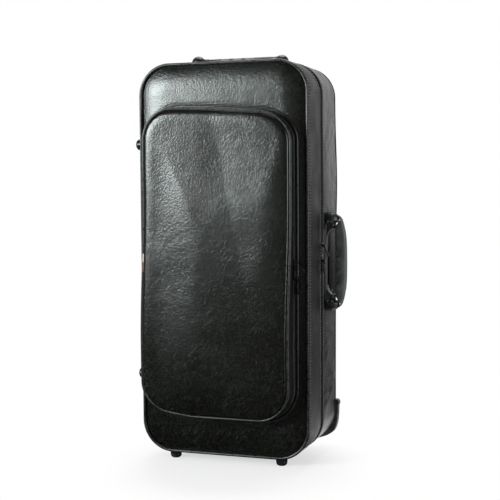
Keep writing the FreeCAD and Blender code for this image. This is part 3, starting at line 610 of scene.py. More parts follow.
def piping_leather(name, gloss, low=(0.006, 0.006, 0.0065), high=(0.020, 0.020, 0.020)):
    """Thin leather drawn round a cord: small dents and a fine grain."""
    finish = Finish(name)
    dents = finish.noise(240.0, 3.0)
    grain = finish.add("ShaderNodeTexVoronoi", {"Scale": 1100.0, "Vector": finish.place}).outputs["Distance"]
    finish.tint(finish.remap(dents, 0.35, 0.7), low, high)
    finish.rough(finish.remap(dents, 0.3, 0.7, 0.26, 0.42))
    finish.relief(dents, 0.0003, 0.5)
    finish.relief(grain, 0.00004, 0.4)
    finish.set(Specular_IOR_Level=gloss)
    return finish.material


def gusset_leather(name, low, high):
    """Flatter, duller leather of the bands beside the zips."""
    finish = Finish(name)
    grain = finish.noise(460.0, 4.0, 0.65)
    soft = finish.noise(22.0, 4.0, 0.55, 0.5)
    finish.tint(finish.remap(grain, 0.42, 0.80), low, high)
    finish.rough(finish.remap(soft, 0.3, 0.7, 0.42, 0.56))
    finish.relief(soft, 0.0012, 0.5)
    finish.relief(grain, 0.00030, 0.7)
    finish.set(Specular_IOR_Level=0.34)
    return finish.material


def woven(name, low, high, pitch, roughness):
    """Webbing or tape in a plain weave of a given pitch."""
    finish = Finish(name)
    weave = finish.weave(1.0 / pitch / 2.0)
    fuzz = finish.noise(1400.0, 2.0)
    finish.tint(finish.combine("MULTIPLY", weave, finish.remap(fuzz, 0.3, 0.7, 0.6, 1.0)), low, high)
    finish.rough(finish.remap(fuzz, 0.3, 0.7, roughness - 0.08, min(1.0, roughness + 0.08)))
    finish.relief(weave, pitch * 0.35, 0.7)
    finish.relief(fuzz, 0.00004, 0.5)
    finish.set(Sheen_Weight=0.25, Sheen_Roughness=0.5)
    return finish.material


def banded(name, lower, upper, edge):
    """Woven ribbon in two plain colours, one above the other."""
    finish = Finish(name)
    height = finish.part(finish.cloth(), "X")
    weave = finish.weave(700.0)
    fuzz = finish.noise(1400.0, 2.0)
    finish.tint(finish.remap(height, edge - 0.0012, edge + 0.0012), lower, upper)
    finish.rough(finish.remap(fuzz, 0.3, 0.7, 0.55, 0.75))
    finish.relief(weave, 0.0002, 0.7)
    finish.relief(fuzz, 0.00005, 0.5)
    return finish.material


def moulded(name, low, high, rough_low, rough_high):
    """Moulded plastic with a fine spark-eroded texture and faint handling marks."""
    finish = Finish(name)
    spark = finish.noise(2600.0, 2.0)
    wear = finish.noise(55.0, 5.0, 0.6)
    finish.tint(finish.remap(wear, 0.42, 0.75), low, high)
    finish.rough(finish.remap(wear, 0.3, 0.7, rough_low, rough_high))
    finish.relief(spark, 0.00003, 0.45)
    finish.relief(wear, 0.0002, 0.25)
    return finish.material


def lacquered(name):
    """Die-cast metal under black lacquer, rubbed thin in places."""
    finish = Finish(name)
    rubbed = finish.noise(420.0, 6.0, 0.65)
    dents = finish.noise(900.0, 3.0)
    finish.tint(finish.remap(rubbed, 0.55, 0.75), (0.03, 0.03, 0.032), (0.16, 0.155, 0.15))
    finish.rough(finish.remap(rubbed, 0.3, 0.75, 0.24, 0.42))
    finish.relief(dents, 0.00004, 0.5)
    finish.set(Metallic=0.85)
    return finish.material


def plated(name):
    """Zinc-plated steel with fine turning marks."""
    finish = Finish(name)
    marks = finish.noise(3000.0, 2.0, 0.5, 0.0, finish.stretched((1.0, 1.0, 0.08)))
    cloud = finish.noise(120.0, 4.0)
    finish.tint(cloud, (0.42, 0.43, 0.44), (0.62, 0.62, 0.62))
    finish.rough(finish.remap(marks, 0.3, 0.7, 0.25, 0.42))
    finish.relief(marks, 0.00002, 0.4)
    finish.set(Metallic=1.0)
    return finish.material


def plush(name, low, high):
    """Short-pile plush: soft sheen, brushed patches and fine pile."""
    finish = Finish(name)
    brushed = finish.noise(34.0, 4.0, 0.6, 1.2)
    pile = finish.noise(1700.0, 3.0, 0.7)
    patches = finish.combine("ADD", finish.combine("MULTIPLY", pile, 0.5), brushed)
    finish.tint(finish.remap(patches, 0.5, 1.0), low, high)
    finish.rough(finish.remap(pile, 0.2, 0.8, 0.82, 1.0))
    finish.relief(pile, 0.0005, 0.6)
    finish.relief(brushed, 0.001, 0.3)
    finish.set(Sheen_Weight=0.6, Sheen_Roughness=0.4)
    return finish.material


def fibreboard(name):
    """Brown board with upright fibres."""
    finish = Finish(name)
    fibres = finish.noise(210.0, 6.0, 0.7, 0.8, finish.stretched((1.0, 1.0, 0.3)))
    finish.tint(fibres, (0.17, 0.11, 0.06), (0.36, 0.26, 0.16))
    finish.rough(finish.remap(fibres, 0.3, 0.7, 0.7, 0.9))
    finish.relief(fibres, 0.0002, 0.6)
    return finish.material


def thread(name, low, high):
    """Twisted sewing thread."""
    finish = Finish(name)
    twist = finish.wave(700.0, "DIAGONAL", finish.place, 1.0)
    finish.tint(twist, low, high)
    finish.rough(finish.remap(twist, 0.0, 1.0, 0.5, 0.7))
    finish.relief(twist, 0.00005, 0.6)
    return finish.material


# Leather and lining

def body_outline(inset=0.0):
    """The shell's half width, low and high ends and corner radius, drawn in by an inset."""
    return (HALF_WIDTH - inset, inset, HEIGHT - inset, CORNER - inset)


def pocket_outline(share, inset=0.0):
    """Pocket's outline at a share of its depth: 0 at its front, 1 at the lid."""
    def between(a, b):
        return a + (b - a) * share
    half = between(POCKET_HALF, POCKET_BASE_HALF)
    low = between(POCKET_LOW, POCKET_BASE_LOW)
    high = between(POCKET_HIGH, POCKET_BASE_HIGH)
    corner = between(POCKET_CORNER, POCKET_BASE_CORNER)
    return (half - inset, low + inset, high - inset, corner - inset)


def crown(distance, reach, rise):
    """Swell of a padded panel: steep at its edge and flat beyond its reach."""
    return rise * (1.0 - (1.0 - np.clip(distance / reach, 0.0, 1.0)) ** 2.3)


def lid_covers(look, sizes):
    """Leather over the lid: a front panel that swells from its piping, and the band round its side."""
    face = FRONT_BOARD_Y - 0.0006
    seam_lift, seam_half = 0.0006, 0.0024
    x, z, edge = panel_grid(*body_outline(PANEL_INSET), spacing=0.0038)
    points = upright(x, z, 0.0)
    broad, fine = crumple(points, scale=11.0, seed=3, octaves=2), crumple(points, scale=60.0, seed=9)
    folds = sizes.fold_depth * (broad * 0.5 + fine * 0.06)
    seam = edge_distance(x, z - droop(x, z), *pocket_outline(1.0, POCKET_BASE_INSET))
    front = face - crown(edge, reach=0.040, rise=0.0052) - folds * np.clip(edge / PANEL_CALM, 0.0, 1.0)
    front += seam_lift * np.exp(-(seam / seam_half) ** 2)
    lid_front = slab("lid_front_leather", x, z, front, FRONT_BOARD_Y - 0.0002, look["leather"])
    own(lid_front, "lid", "leather_cover", "lid_front_cover")
    profile = band_profile(
        face, LID_DEPTH, 0.0, SKIN, steps=34, bulge=0.0006, tuck=0.0009, grooves=(0.0062, LID_DEPTH - 0.0024))
    side = skirt(
        "lid_side_leather", body_outline(), BAND_SPACING, profile, look["gusset"],
        unevenness=sizes.fold_depth * 0.25, scale=34.0, seed=5)
    own(swell_side(side), "lid", "leather_cover", "lid_side_cover")


def swell_side(thing):
    """Lets the right side of the shell swell a little above its handle, most along the rear edge."""
    reach_in, rear_depth = 0.010, 0.075
    lid_swell, rear_swell, low_swell = 0.0009, 0.0018, 0.0005

    def shift(x, y, z):
        if x < HALF_WIDTH - reach_in:
            return (0.0, 0.0, 0.0)
        above = math.exp(-((z - 0.405) / 0.075) ** 2)
        low = math.exp(-((z - 0.25) / 0.12) ** 2)
        rear = clamp((y - REAR_EDGE) / rear_depth)
        return (above * (lid_swell * clamp(y / LID_DEPTH) + rear_swell * rear) + low_swell * low * rear, 0.0, 0.0)
    return settle_points(thing, shift)


def rear_covers(look, sizes):
    """Leather over the rear shell, with the soft folds of the side band."""
    thickness, swell = 0.0026, 0.0010
    x, z, edge = panel_grid(*body_outline(PANEL_INSET), spacing=0.0045)
    calm = np.clip(edge / PANEL_CALM, 0.0, 1.0)
    folds = crumple(upright(x, z, 0.4), scale=16.0, seed=13) * sizes.fold_depth
    surface = REAR_BOARD_Y + thickness + swell * np.sin(calm * math.pi / 2) + folds * calm
    back = slab("rear_back_leather", x, z, REAR_BOARD_Y + 0.0002, surface, look["leather"])
    own(back, "rear_half", "leather_cover", "rear_back_cover")
    profile = band_profile(
        REAR_EDGE, REAR_BOARD_Y + 0.0006, 0.0, SKIN, steps=44, bulge=0.0008, tuck=0.0009,
        grooves=(REAR_EDGE + 0.0068,))
    side = skirt(
        "rear_side_leather", body_outline(), BAND_SPACING, profile, look["side_leather"],
        unevenness=sizes.fold_depth * 0.9, scale=26.0, seed=7)
    own(swell_side(drape_folds(side, sizes.fold_depth)), "rear_half", "leather_cover", "rear_side_cover")
    profile = band_profile(
        REAR_EDGE + 0.0002, REAR_EDGE + 0.0072, 0.0009, 0.0008, steps=8, bulge=0.0003, tuck=0.0005)
    welt = skirt("rear_zip_welt", body_outline(-0.0001), LINING_SPACING, profile, look["gusset"])
    own(swell_side(welt), "rear_half", "leather_cover")


def drape_folds(thing, depth):
    """Slanting soft folds in both sides of the rear shell, deepest low down."""
    folds = [  # height, depth, slope, width, strength
        (0.150, 0.098, 0.45, 0.013, 2.6), (0.086, 0.112, 0.30, 0.010, 3.4), (0.205, 0.112, 0.55, 0.013, 1.8),
        (0.330, 0.118, -0.40, 0.014, 0.8), (0.455, 0.108, 0.50, 0.016, 0.7), (0.075, 0.105, 0.5, 0.010, 1.0),
    ]

    welt_width, fade = 0.008, 0.012

    def shift(x, y, z):
        edge = min(y - REAR_EDGE - welt_width, REAR_BOARD_Y - y)
        if abs(x) < HALF_WIDTH - 0.012 or edge <= 0:
            return (0.0, 0.0, 0.0)
        lift = 0.0
        for centre_z, centre_y, slope, width, strength in folds:
            off = (z - centre_z) - (y - centre_y) * slope / 0.5
            lift += strength * (math.exp(-(off / width) ** 2) - 0.9 * math.exp(-((off - width * 1.3) / width) ** 2))
        return (math.copysign(lift * depth * min(1.0, edge / fade), x), 0.0, 0.0)
    return settle_points(thing, shift)


def pipings(look):
    """Leather-covered cords along the lid's, the rear shell's and the pocket's edges."""
    outline = body_outline(PIPING_INSET)
    front = tube("front_piping", outline, PIPING_SINK, PIPING_RADIUS, look["piping"], 1)
    own(front, "lid", "edge_piping", "front_edge_piping")
    rear = tube("rear_piping", outline, BODY_DEPTH - PIPING_SINK, PIPING_RADIUS, look["dull_piping"], 2)
    own(swell_side(rear), "rear_half", "edge_piping", "rear_edge_piping")
    outline = pocket_outline(1.0, POCKET_BASE_INSET)
    base = tube("pocket_base_piping", outline, -0.0019, POCKET_PIPING_RADIUS, look["piping"], 3)
    own(sag(base), "lid", "edge_piping", "pocket_base_cord")
    outline = pocket_outline(0.0, -0.0010)
    cord = tube("pocket_front_piping", outline, -0.0270, POCKET_PIPING_RADIUS, look["piping"], 4)
    fold_with_flap(sag(cord), "edge_piping", "pocket_front_cord_fixed", "pocket_front_cord_flap")


def fold_with_flap(thing, slot, *nodes):
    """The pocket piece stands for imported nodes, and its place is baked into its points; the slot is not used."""
    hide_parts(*nodes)
    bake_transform(thing)


def droop(x, z):
    """How far the pocket's soft top sinks at its right, and how far its lower left corner is drawn up."""
    top = np.clip((z - 0.40) / 0.11, 0.0, 1.0)
    foot = np.clip((0.15 - z) / 0.085, 0.0, 1.0)
    down = np.interp(x, (-0.060, -0.025, 0.030, 0.075), (0.0, 0.0014, 0.0055, 0.0085))
    up = np.interp(x, (-0.090, -0.070, -0.035), (0.0055, 0.0045, 0.0))
    return up * ease(foot) - down * ease(top)


def settle_corners(thing):
    """Lets a pocket piece sink and rise with the pocket's soft corners."""
    return settle_points(thing, lambda x, y, z: (0.0, 0.0, float(droop(x, z))))


def sag(thing):
    """The pocket's soft front sags forwards and a little to the left, most in its lower half."""
    wall_start, wall_reach = 0.0115, 0.0165

    def shift(x, y, z):
        share = clamp((-y - wall_start) / wall_reach)
        low = math.exp(-((z - 0.165) / 0.15) ** 2)
        slide = ease(clamp((0.37 - z) / 0.20))
        return (-slide * (0.0008 + 0.0036 * share), -share * (0.0020 + 0.0038 * low), 0.0)
    return settle_points(settle_corners(thing), shift)


def pocket(look, sizes):
    """Padded front pocket: swollen panel, wall down to the zip, band below it, and a plain tab."""
    half_thick, calm = 0.0008, 0.036
    x, z, edge = panel_grid(*pocket_outline(0.0, 0.0012), spacing=0.0028)
    points = upright(x, z, 1.3)
    broad, fine = crumple(points, scale=8.0, seed=21, octaves=2), crumple(points, scale=44.0, seed=23)
    folds = sizes.fold_depth * (broad * 0.9 + fine * 0.07)
    lean = np.maximum(0.0005, 0.0020 - 0.0080 * x / (2 * POCKET_HALF) - 0.0080 * (z - 0.29))
    flat = ease(np.clip(np.maximum((-0.020 - x) / 0.070, (z - 0.33) / 0.15), 0.0, 1.0))
    swell = crown(edge, 0.006, lean) + crown(edge, 0.050 - 0.034 * flat, 0.0054 - 0.0036 * flat)
    front = -POCKET_DEPTH - half_thick - swell - folds * np.clip(edge / calm, 0.0, 1.0)
    panel = sag(slab("pocket_panel_leather", x, z, front, -POCKET_DEPTH + half_thick, look["leather"]))
    fold_with_flap(panel, "leather_cover", "pocket_panel_fixed", "pocket_panel_flap")
    pocket_wall(look["gusset"], sizes.fold_depth)
    own(pocket_tab(look["tab"]), "lid", "seam_tab_cloth", "pocket_seam_tab")


def wall_points(stations):
    """Grid of points round the pocket's flared wall, with a column for each (depth, how far sunk)."""
    columns = []
    for depth, sunk in stations:
        places, facing = walk(*pocket_outline(1.0 + depth / POCKET_DEPTH, sunk), BAND_SPACING)[:2]
        columns.append(ring_points(places, facing, np.zeros((len(places), 1)), depth)[:, 0])
    count = min(len(c) for c in columns)
    return np.stack([c[:count] for c in columns], axis=1)


def wall_band(name, points, closed, material):
    """Band of the pocket's wall from its grid of points."""
    rows, columns = points.shape[:2]
    faces = grid_faces(rows, columns, True, True) if closed else tube_faces(rows, columns)
    uvs = np.stack(np.meshgrid(np.arange(rows) * BAND_SPACING, np.arange(columns) * 0.002, indexing="ij"), axis=-1)
    return build(name, points, faces, material, uvs)


def flared_band(name, start, end, steps, unevenness, seed, material):
    """Closed band of the pocket's wall between two depths, with tucked edges."""
    thickness, tuck = 0.0018, 0.0005
    stations = [
        (start + (end - start) * k / steps, tuck * math.exp(-min(k, steps - k) * 1.2)) for k in range(steps + 1)]
    points = wall_points(stations + [(end, thickness), (start, thickness)])
    middle = np.array([MIDDLE_X, 0.0, UNDER_Z + (POCKET_LOW + POCKET_HIGH) / 2])
    away = (points - middle) * (1.0, 0.0, 0.4)
    away /= np.linalg.norm(away, axis=-1, keepdims=True)
    lift = crumple(points, scale=40.0, seed=seed) * unevenness
    return sag(wall_band(name, points + away * lift[..., None], True, material))


def right_of_fold(x, z):
    """The pocket's opening side."""
    return x > POCKET_FOLD_X


def pocket_wall(material, fold_depth):
    """Wall from the front seam to the zip, the band at the lid, and the sewn strip left of the fold."""
    zip_half, lap = 0.0030, 0.0004
    zip_start, zip_end = POCKET_ZIP_Y - zip_half, POCKET_ZIP_Y + zip_half
    upper = flared_band("pocket_wall_leather", -0.0286, zip_start, 8, fold_depth * 0.5, 31, material)
    fold_with_flap(upper, "leather_cover", "pocket_wall_fixed", "pocket_wall_flap")
    base = flared_band("pocket_base_band_leather", zip_end, -0.0003, 5, fold_depth * 0.3, 32, material)
    own(base, "lid", "leather_cover", "pocket_base_band")
    start, end = zip_start - lap, zip_end + lap
    points = wall_points([(start, 0.0004), (POCKET_ZIP_Y, 0.0006), (end, 0.0004), (end, 0.0017), (start, 0.0017)])
    sewn = points[:, 0, 0] - MIDDLE_X < POCKET_FOLD_X
    first, last = int(np.argmin(sewn)), len(sewn) - int(np.argmin(sewn[::-1]))
    points = np.concatenate([points[last:], points[:first]])
    own(sag(wall_band("pocket_sewn_wall_leather", points, False, material)), "lid", "leather_cover")


def pocket_tab(material):
    """Folded tab of woven cloth from the pocket's seam, laid forwards over the piping."""
    low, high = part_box("pocket_seam_tab")
    bottom, length = low[2] - 0.006, high[2] - low[2] + 0.007
    path = [
        (-0.1120, -0.0268), (-0.1125, -0.0292), (-0.1116, -0.0308), (-0.1102, -0.0318), (-0.1088, -0.0327),
        (-0.1074, -0.0335), (-0.1060, -0.0342), (-0.1048, -0.0348)]
    rows, half_thick = 16, 0.0004
    points, uvs = [], []
    for k in range(rows + 1):
        z = bottom + length * k / rows
        bend = 0.0003 * math.sin(5.0 * k / rows)
        sides, travelled = [], 0.0
        for index, (x, y) in enumerate(path):
            before, after = path[max(0, index - 1)], path[min(len(path) - 1, index + 1)]
            dx, dy = after[0] - before[0], after[1] - before[1]
            thick = half_thick / math.hypot(dx, dy)
            if index:
                travelled += math.dist(path[index - 1], (x, y))
            sides.append((x + MIDDLE_X, y + FRONT_Y + bend, -dy * thick, dx * thick, travelled))
        loop = [(x + a, y + b, t) for x, y, a, b, t in sides] + [(x - a, y - b, t) for x, y, a, b, t in sides[::-1]]
        points += [(x, y, z) for x, y, t in loop]
        uvs += [(z - bottom, t) for x, y, t in loop]
    return sag(build("seam_tab", points, tube_faces(rows + 1, 2 * len(path)), material, uvs))


def stitches(look, sizes):
    """Rows of thread along the lid's side band and the rear shell's welt."""
    stitch = pill(sizes.stitch_length * 1.10, width=0.0020, height=0.0014)
    pitch = sizes.stitch_length * 1.55
    rows = (
        ("lid_front_stitches", 0.0066, 0.0002, "lid"), ("lid_zip_stitches", LID_DEPTH - 0.0030, 0.0002, "lid"),
        ("rear_zip_stitches", REAR_EDGE + 0.0046, 0.0009, "rear_half"))
    for name, y, out, body in rows:
        seam = scatter(name, stitch, ring_frames(body_outline(), pitch, out, y), look["thread"])
        own(swell_side(seam), body, "leather_cover")


# Zips

def away_from_hinge(x, z):
    """Everywhere on the shell's side but along the hinge."""
    low = CORNER + 0.010
    return np.logical_or(x > -HALF_WIDTH + 0.02, np.logical_or(z < low, z > HEIGHT - low))


def tape(name, outline, near, far, thickness, keep, material):
    """Flat band of cloth beside a zip's teeth."""
    profile = [(0.0, near), (0.0, far), (-thickness, far), (-thickness, near)]
    return skirt(name, outline, BAND_SPACING, profile, material, keep=keep)


def zip_bands(look, sizes):
    """Woven tapes and spiral teeth of both zips."""
    tooth = pill(length=0.0024, width=0.0011, height=0.0019)
    gap = 0.00065
    for side, body, word in ((-1, "lid", "lid"), (1, "rear_half", "rear")):
        band = tape(
            "main_zip_tape_" + word, body_outline(SKIN + 0.0001), ZIP_Y + side * gap, ZIP_Y + side * 0.0056,
            0.0006, away_from_hinge, look["tape"])
        own(band, body, "zip_teeth", "main_zip_%s_half" % word)
        places = ring_frames(
            body_outline(0.0018), sizes.tooth_pitch, 0.0, ZIP_Y + side * 0.0018, away_from_hinge, 0.25 + 0.25 * side)
        own(scatter("main_zip_teeth_" + word, tooth, places, look["teeth"]), body, "zip_teeth")
    for side, body, word in ((-1, "pocket_flap", "flap"), (1, "lid", "base")):
        places = ring_frames(
            pocket_outline(POCKET_ZIP_SHARE, 0.0012), sizes.tooth_pitch, 0.0, POCKET_ZIP_Y + side * 0.0016,
            right_of_fold, 0.25 + 0.25 * side)
        teeth = scatter("pocket_zip_teeth_" + word, tooth, places, look["teeth"])
        own(settle_corners(teeth), body, "zip_teeth")
        band = tape(
            "pocket_zip_tape_" + word, pocket_outline(POCKET_ZIP_SHARE, 0.0017), POCKET_ZIP_Y + side * gap,
            POCKET_ZIP_Y + side * 0.0034, 0.0005, right_of_fold, look["tape"])
        own(settle_corners(band), body, "zip_teeth", "pocket_zip_%s_half" % word)


def plate(name, outline, low, high, width, material):
    """Plate with softened edges whose outline lies across and along, from low to high outwards."""
    points, faces = prism(outline, low, high)
    return soften(build(name, [(z, x, y) for x, y, z in points], faces, material), width)


def put(thing, matrix):
    """Moves a piece's mesh by a matrix, and turns its faces outwards again in case the matrix mirrors it."""
    thing.data.transform(matrix)
    face_outwards(thing.data)
    return thing


def slider_piece(name, flip, material):
    """Zip slider at its own origin, X out and Z along: two plates, their waist, and two lugs that hold a pin."""
    outline = [
        (0.0026, -0.0075), (0.0040, -0.0062), (0.0048, -0.0020), (0.0048, 0.0030), (0.0042, 0.0058), (0.0028, 0.0075)]
    outline += [(-y, z) for y, z in outline[::-1]]
    waist = [(0.0003, -0.006), (0.0003, 0.006), (-0.0003, 0.006), (-0.0003, -0.006)]
    parts = [
        plate(name + "_top", outline, 0.0004, 0.0018, 0.0005, material),
        plate(name + "_under", outline, -0.0052, -0.0040, 0.0004, material),
        plate(name + "_waist", waist, -0.0042, 0.0010, 0.0001, material),
    ]
    pin_z = 0.0036
    arch = [
        (0.0012, -0.0022), (0.0040, -0.0024), (0.0058, -0.0016), (0.0066, 0.0), (0.0058, 0.0016), (0.0040, 0.0024),
        (0.0012, 0.0022)]
    for low, high in ((-0.0029, -0.0017), (0.0017, 0.0029)):
        points, faces = prism([(x, z + pin_z) for x, z in arch], low, high)
        parts.append(soften(build(name + "_lug", [(x, y, z) for x, z, y in points], faces, material), 0.0003))
    points, faces = lathe([(0.0008, -0.0026), (0.0008, 0.0026)], 16)
    parts.append(build(name + "_pin", [(0.0048 + x, z, pin_z + y) for x, y, z in points], faces, material))
    joined = gather(name, parts)
    return put(joined, Matrix.Diagonal((1, 1, -1, 1))) if flip else joined


def pull_piece(name, length, flip, tilt, pointed, material):
    """Flat pull hanging from its eye: a neck, a blade with a raised rib, and a round or pointed end."""
    root, tip, top, end = 0.0023, 0.0032, -0.0042, -length
    blade = [(-root, top), (root, top)]
    if pointed:
        blade += [
            (tip, end + 0.004), (tip * 0.6, end + 0.0008), (0.0, end), (-tip * 0.6, end + 0.0008), (-tip, end + 0.004)]
    else:
        blade += arc(0.0, end + tip, tip, tip, 0.0, -180.0, 12)
    rib = [(-0.0011, top - 0.004), (0.0011, top - 0.004), (0.0011, end + 0.006), (-0.0011, end + 0.006)]
    stem = [(-0.0013, 0.0), (0.0013, 0.0), (0.0013, top - 0.001), (-0.0013, top - 0.001)]
    parts = [
        plate(name + "_blade", blade, -0.0008, 0.0008, 0.0004, material),
        plate(name + "_rib", rib, -0.0011, 0.0011, 0.0003, material),
        plate(name + "_neck", stem, -0.0008, 0.0008, 0.0002, material),
    ]
    rim = [
        (0.0009, -0.0013), (0.0016, -0.0013), (0.0018, -0.0011), (0.0018, 0.0011), (0.0016, 0.0013), (0.0009, 0.0013)]
    eye = [(x, z, y) for x, y, z in lathe(rim, 20)[0]]
    parts.append(build(name + "_eye", eye, grid_faces(len(rim), 20, True, True), material))
    joined = gather(name, parts)
    middle = Matrix.Translation((0.0048, 0, -0.0036 if flip else 0.0036))
    joined.data.transform(middle @ Matrix.Rotation(math.radians(-tilt), 4, "Y"))
    return joined


def sliders(look):
    """Two sliders with pulls on each zip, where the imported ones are."""
    pocket_x = POCKET_HALF + (POCKET_BASE_HALF - POCKET_HALF) * POCKET_ZIP_SHARE
    for kind, word, wall_x, length, tilt in (
            ("main", "upper", HALF_WIDTH, 0.018, 24.0), ("main", "lower", HALF_WIDTH, 0.018, 0.0),
            ("pocket", "upper", pocket_x, 0.016, 38.0), ("pocket", "lower", pocket_x, 0.024, 0.0)):
        flip = word == "lower"
        body, pull_body = "%s_slider_%s" % (kind, word), "%s_pull_%s" % (kind, word)
        middle = centre(body)
        place = Matrix.Translation((MIDDLE_X + wall_x, middle.y, middle.z))
        piece = slider_piece("%s_zip_slider_%s" % (kind, word), flip, look["lacquer"])
        piece.data.transform(place)
        own(piece, body, "zip_metal", body)
        pointed = kind == "pocket" and word == "upper"
        pull = pull_piece("%s_zip_pull_%s" % (kind, word), length, flip, tilt, pointed, look["lacquer"])
        pull.data.transform(place)
        own(pull, pull_body, "zip_metal", pull_body)


# Fittings

def grip_points(stations, sides):
    """Sections of the arched grip along its length: full outside, with three finger hollows on the inside."""
    outline = [
        (0.0, 0.0317), (0.020, 0.0315), (0.032, 0.0310), (0.042, 0.0300), (0.050, 0.0287), (0.057, 0.0270),
        (0.0625, 0.0250), (0.0665, 0.0228), (0.0690, 0.0205), (0.0700, 0.0180)]
    points = []
    for z in stations:
        size = abs(z)
        outer = float(np.interp(size, *zip(*outline)))
        inner = 0.0150 if size < 0.052 else 0.0150 + 0.0076 * min(1.0, (size - 0.052) / 0.011) ** 1.4
        inner = min(inner, outer - 0.0022)
        across = min(((z - finger) / 0.0088) ** 2 for finger in (-0.0262, -0.0063, 0.0136))
        seam = 0.00028 * max(math.exp(-((z - 0.0490) / 0.0006) ** 2), math.exp(-((z + 0.0440) / 0.0006) ** 2))
        sleeve = 0.00025 if -0.044 < z < 0.049 else 0.0
        half = (0.0060 + sleeve) * min(1.0, 0.55 + (0.0705 - size) / 0.012)
        middle, spread = (outer + inner) / 2, (outer - inner) / 2 + sleeve
        for c, s in circle(sides):
            power = 0.62 if c > 0 else 0.42
            x = middle + (spread - seam) * math.copysign(abs(c) ** power, c)
            y = (half - seam) * math.copysign(abs(s) ** 0.66, s)
            y *= 1 - 0.34 * ease(clamp((1.0 - across - (max(0.0, x - inner) / 0.0070) ** 2) / 0.40))
            points.append((x, y, z))
    return points


def grip(name, material):
    """Moulded grip: its ends lap over the domes, and an eye plate hangs from each."""
    stations, sides = np.linspace(-0.0700, 0.0700, 142), 40
    parts = [build(name + "_bar", grip_points(stations, sides), tube_faces(len(stations), sides), material)]
    eye_radius = 0.0054
    outline = arc(HANDLE_PIVOT, 0.0, eye_radius, eye_radius, -90.0, -270.0, 18)
    outline += [(0.0185, -0.0056), (0.0235, -0.0045), (0.0235, 0.0045), (0.0185, 0.0056)]
    for low, high in ((-0.0614, -0.0588), (0.0588, 0.0614)):
        parts.append(soften(build(name + "_eye", *prism(outline, low, high), material), 0.0005))
    return gather(name, parts)


def dome(name, sign, radius, middle, face, material):
    """Bullet-shaped end with a flat inner face and a softened rim."""
    tall = radius - 0.0004
    profile = [
        (radius - 0.0020, 0.0), (radius - 0.0010, 0.0009), (radius - 0.0003, 0.0024), (radius, 0.0048),
        *arc(0.0, HANDLE_PIVOT, radius, tall, 0.0, 90.0, 10)[:-1], (0.0002, HANDLE_PIVOT + tall)]
    points, faces = lathe(profile, 44)
    thing = build(name, [(z, x, y + sign * middle) for x, y, z in points], faces, material)
    work = bmesh.new()
    work.from_mesh(thing.data)
    cut = bmesh.ops.bisect_plane(
        work, geom=work.verts[:] + work.edges[:] + work.faces[:], plane_co=(0, 0, sign * face),
        plane_no=(0, 0, -sign), clear_outer=True)
    bmesh.ops.edgeloop_fill(work, edges=[e for e in cut["geom_cut"] if isinstance(e, bmesh.types.BMEdge)])
    bmesh.ops.recalc_face_normals(work, faces=work.faces)
    work.to_mesh(thing.data)
    work.free()
    return soften(thing, 0.0006, angle=50.0)


def neck(name, sign, material):
    """Round neck beside the eye, running down to the plate in a hollow curve."""
    low, start, end = 0.0022, 0.0500, 0.0584
    outline = [(0.036, 0.0), (0.036, low)]
    for k in range(1, 9):
        t = k / 8
        outline.append((0.037 + (start - 0.037) * t, low + (HANDLE_PIVOT - low) * t ** 2.2))
    points, faces = prism(outline + [(end, HANDLE_PIVOT), (end, 0.0)], -0.0053, 0.0053)
    ramp = build(name + "_ramp", [(y, z, x * sign) for x, y, z in points], faces, material)
    points, faces = lathe([(0.0050, start), (0.0056, start + 0.0006), (0.0056, end - 0.0006), (0.0050, end)], 32)
    boss = build(name + "_boss", [(HANDLE_PIVOT + x, y, z * sign) for x, y, z in points], faces, material)
    return [soften(ramp, 0.0008), boss]


def dish(name, material):
    """Shallow boat-shaped cradle: a rounded rim all round and a hollow floor."""
    rows, columns = 70, 33
    reach, straight, widest = 0.0640, 0.040, 0.0118
    floor_height, rim_height = 0.0010, 0.0016
    upper, lower = [], []
    for r in range(rows + 1):
        z = -reach + 2 * reach * r / rows
        tight = max(0.0, (abs(z) - straight) / (reach - straight))
        half = widest * math.sqrt(max(0.05, 1 - tight ** 2.2))
        for c in range(columns + 1):
            y = -half + 2 * half * c / columns
            near = min(half - abs(y), reach - abs(z))
            rim = rim_height * math.exp(-((near - 0.0013) / 0.0011) ** 2)
            upper.append((floor_height * min(1.0, near / 0.0006 + 0.2) + rim, y, z))
            lower.append((0.0, y, z))
    return build(name, upper + lower, sheet_faces(rows + 1, columns + 1), material)


def handle_base(name, ends, material):
    """Cradle with a raised rim, two domed ends and two necks."""
    parts = [dish(name + "_dish", material)]
    parts += [dome(name + "_dome", sign, *ends, material) for sign in (1, -1)]
    return gather(name, parts + neck(name + "_neck", 1, material) + neck(name + "_neck", -1, material))


def painted_shade_patch(place, material):
    """Near-black sheet laid on the shell behind the side handle, from its cradle to the rear edge: painted shade where
    the grip shades the shell.
    """
    front, rear, half, corner = 0.0060, 0.0440, 0.0545, 0.012
    outline = []
    for y, z, start in (
            (rear - corner, half - corner, 0.0), (front + corner, half - corner, 90.0),
            (front + corner, corner - half, 180.0), (rear - corner, corner - half, 270.0)):
        outline += arc(y, z, corner, corner, start, start + 90.0, 6)
    return put(plate("side_handle_painted_shade", outline, -0.0006, 0.0024, 0.0006, material), place)


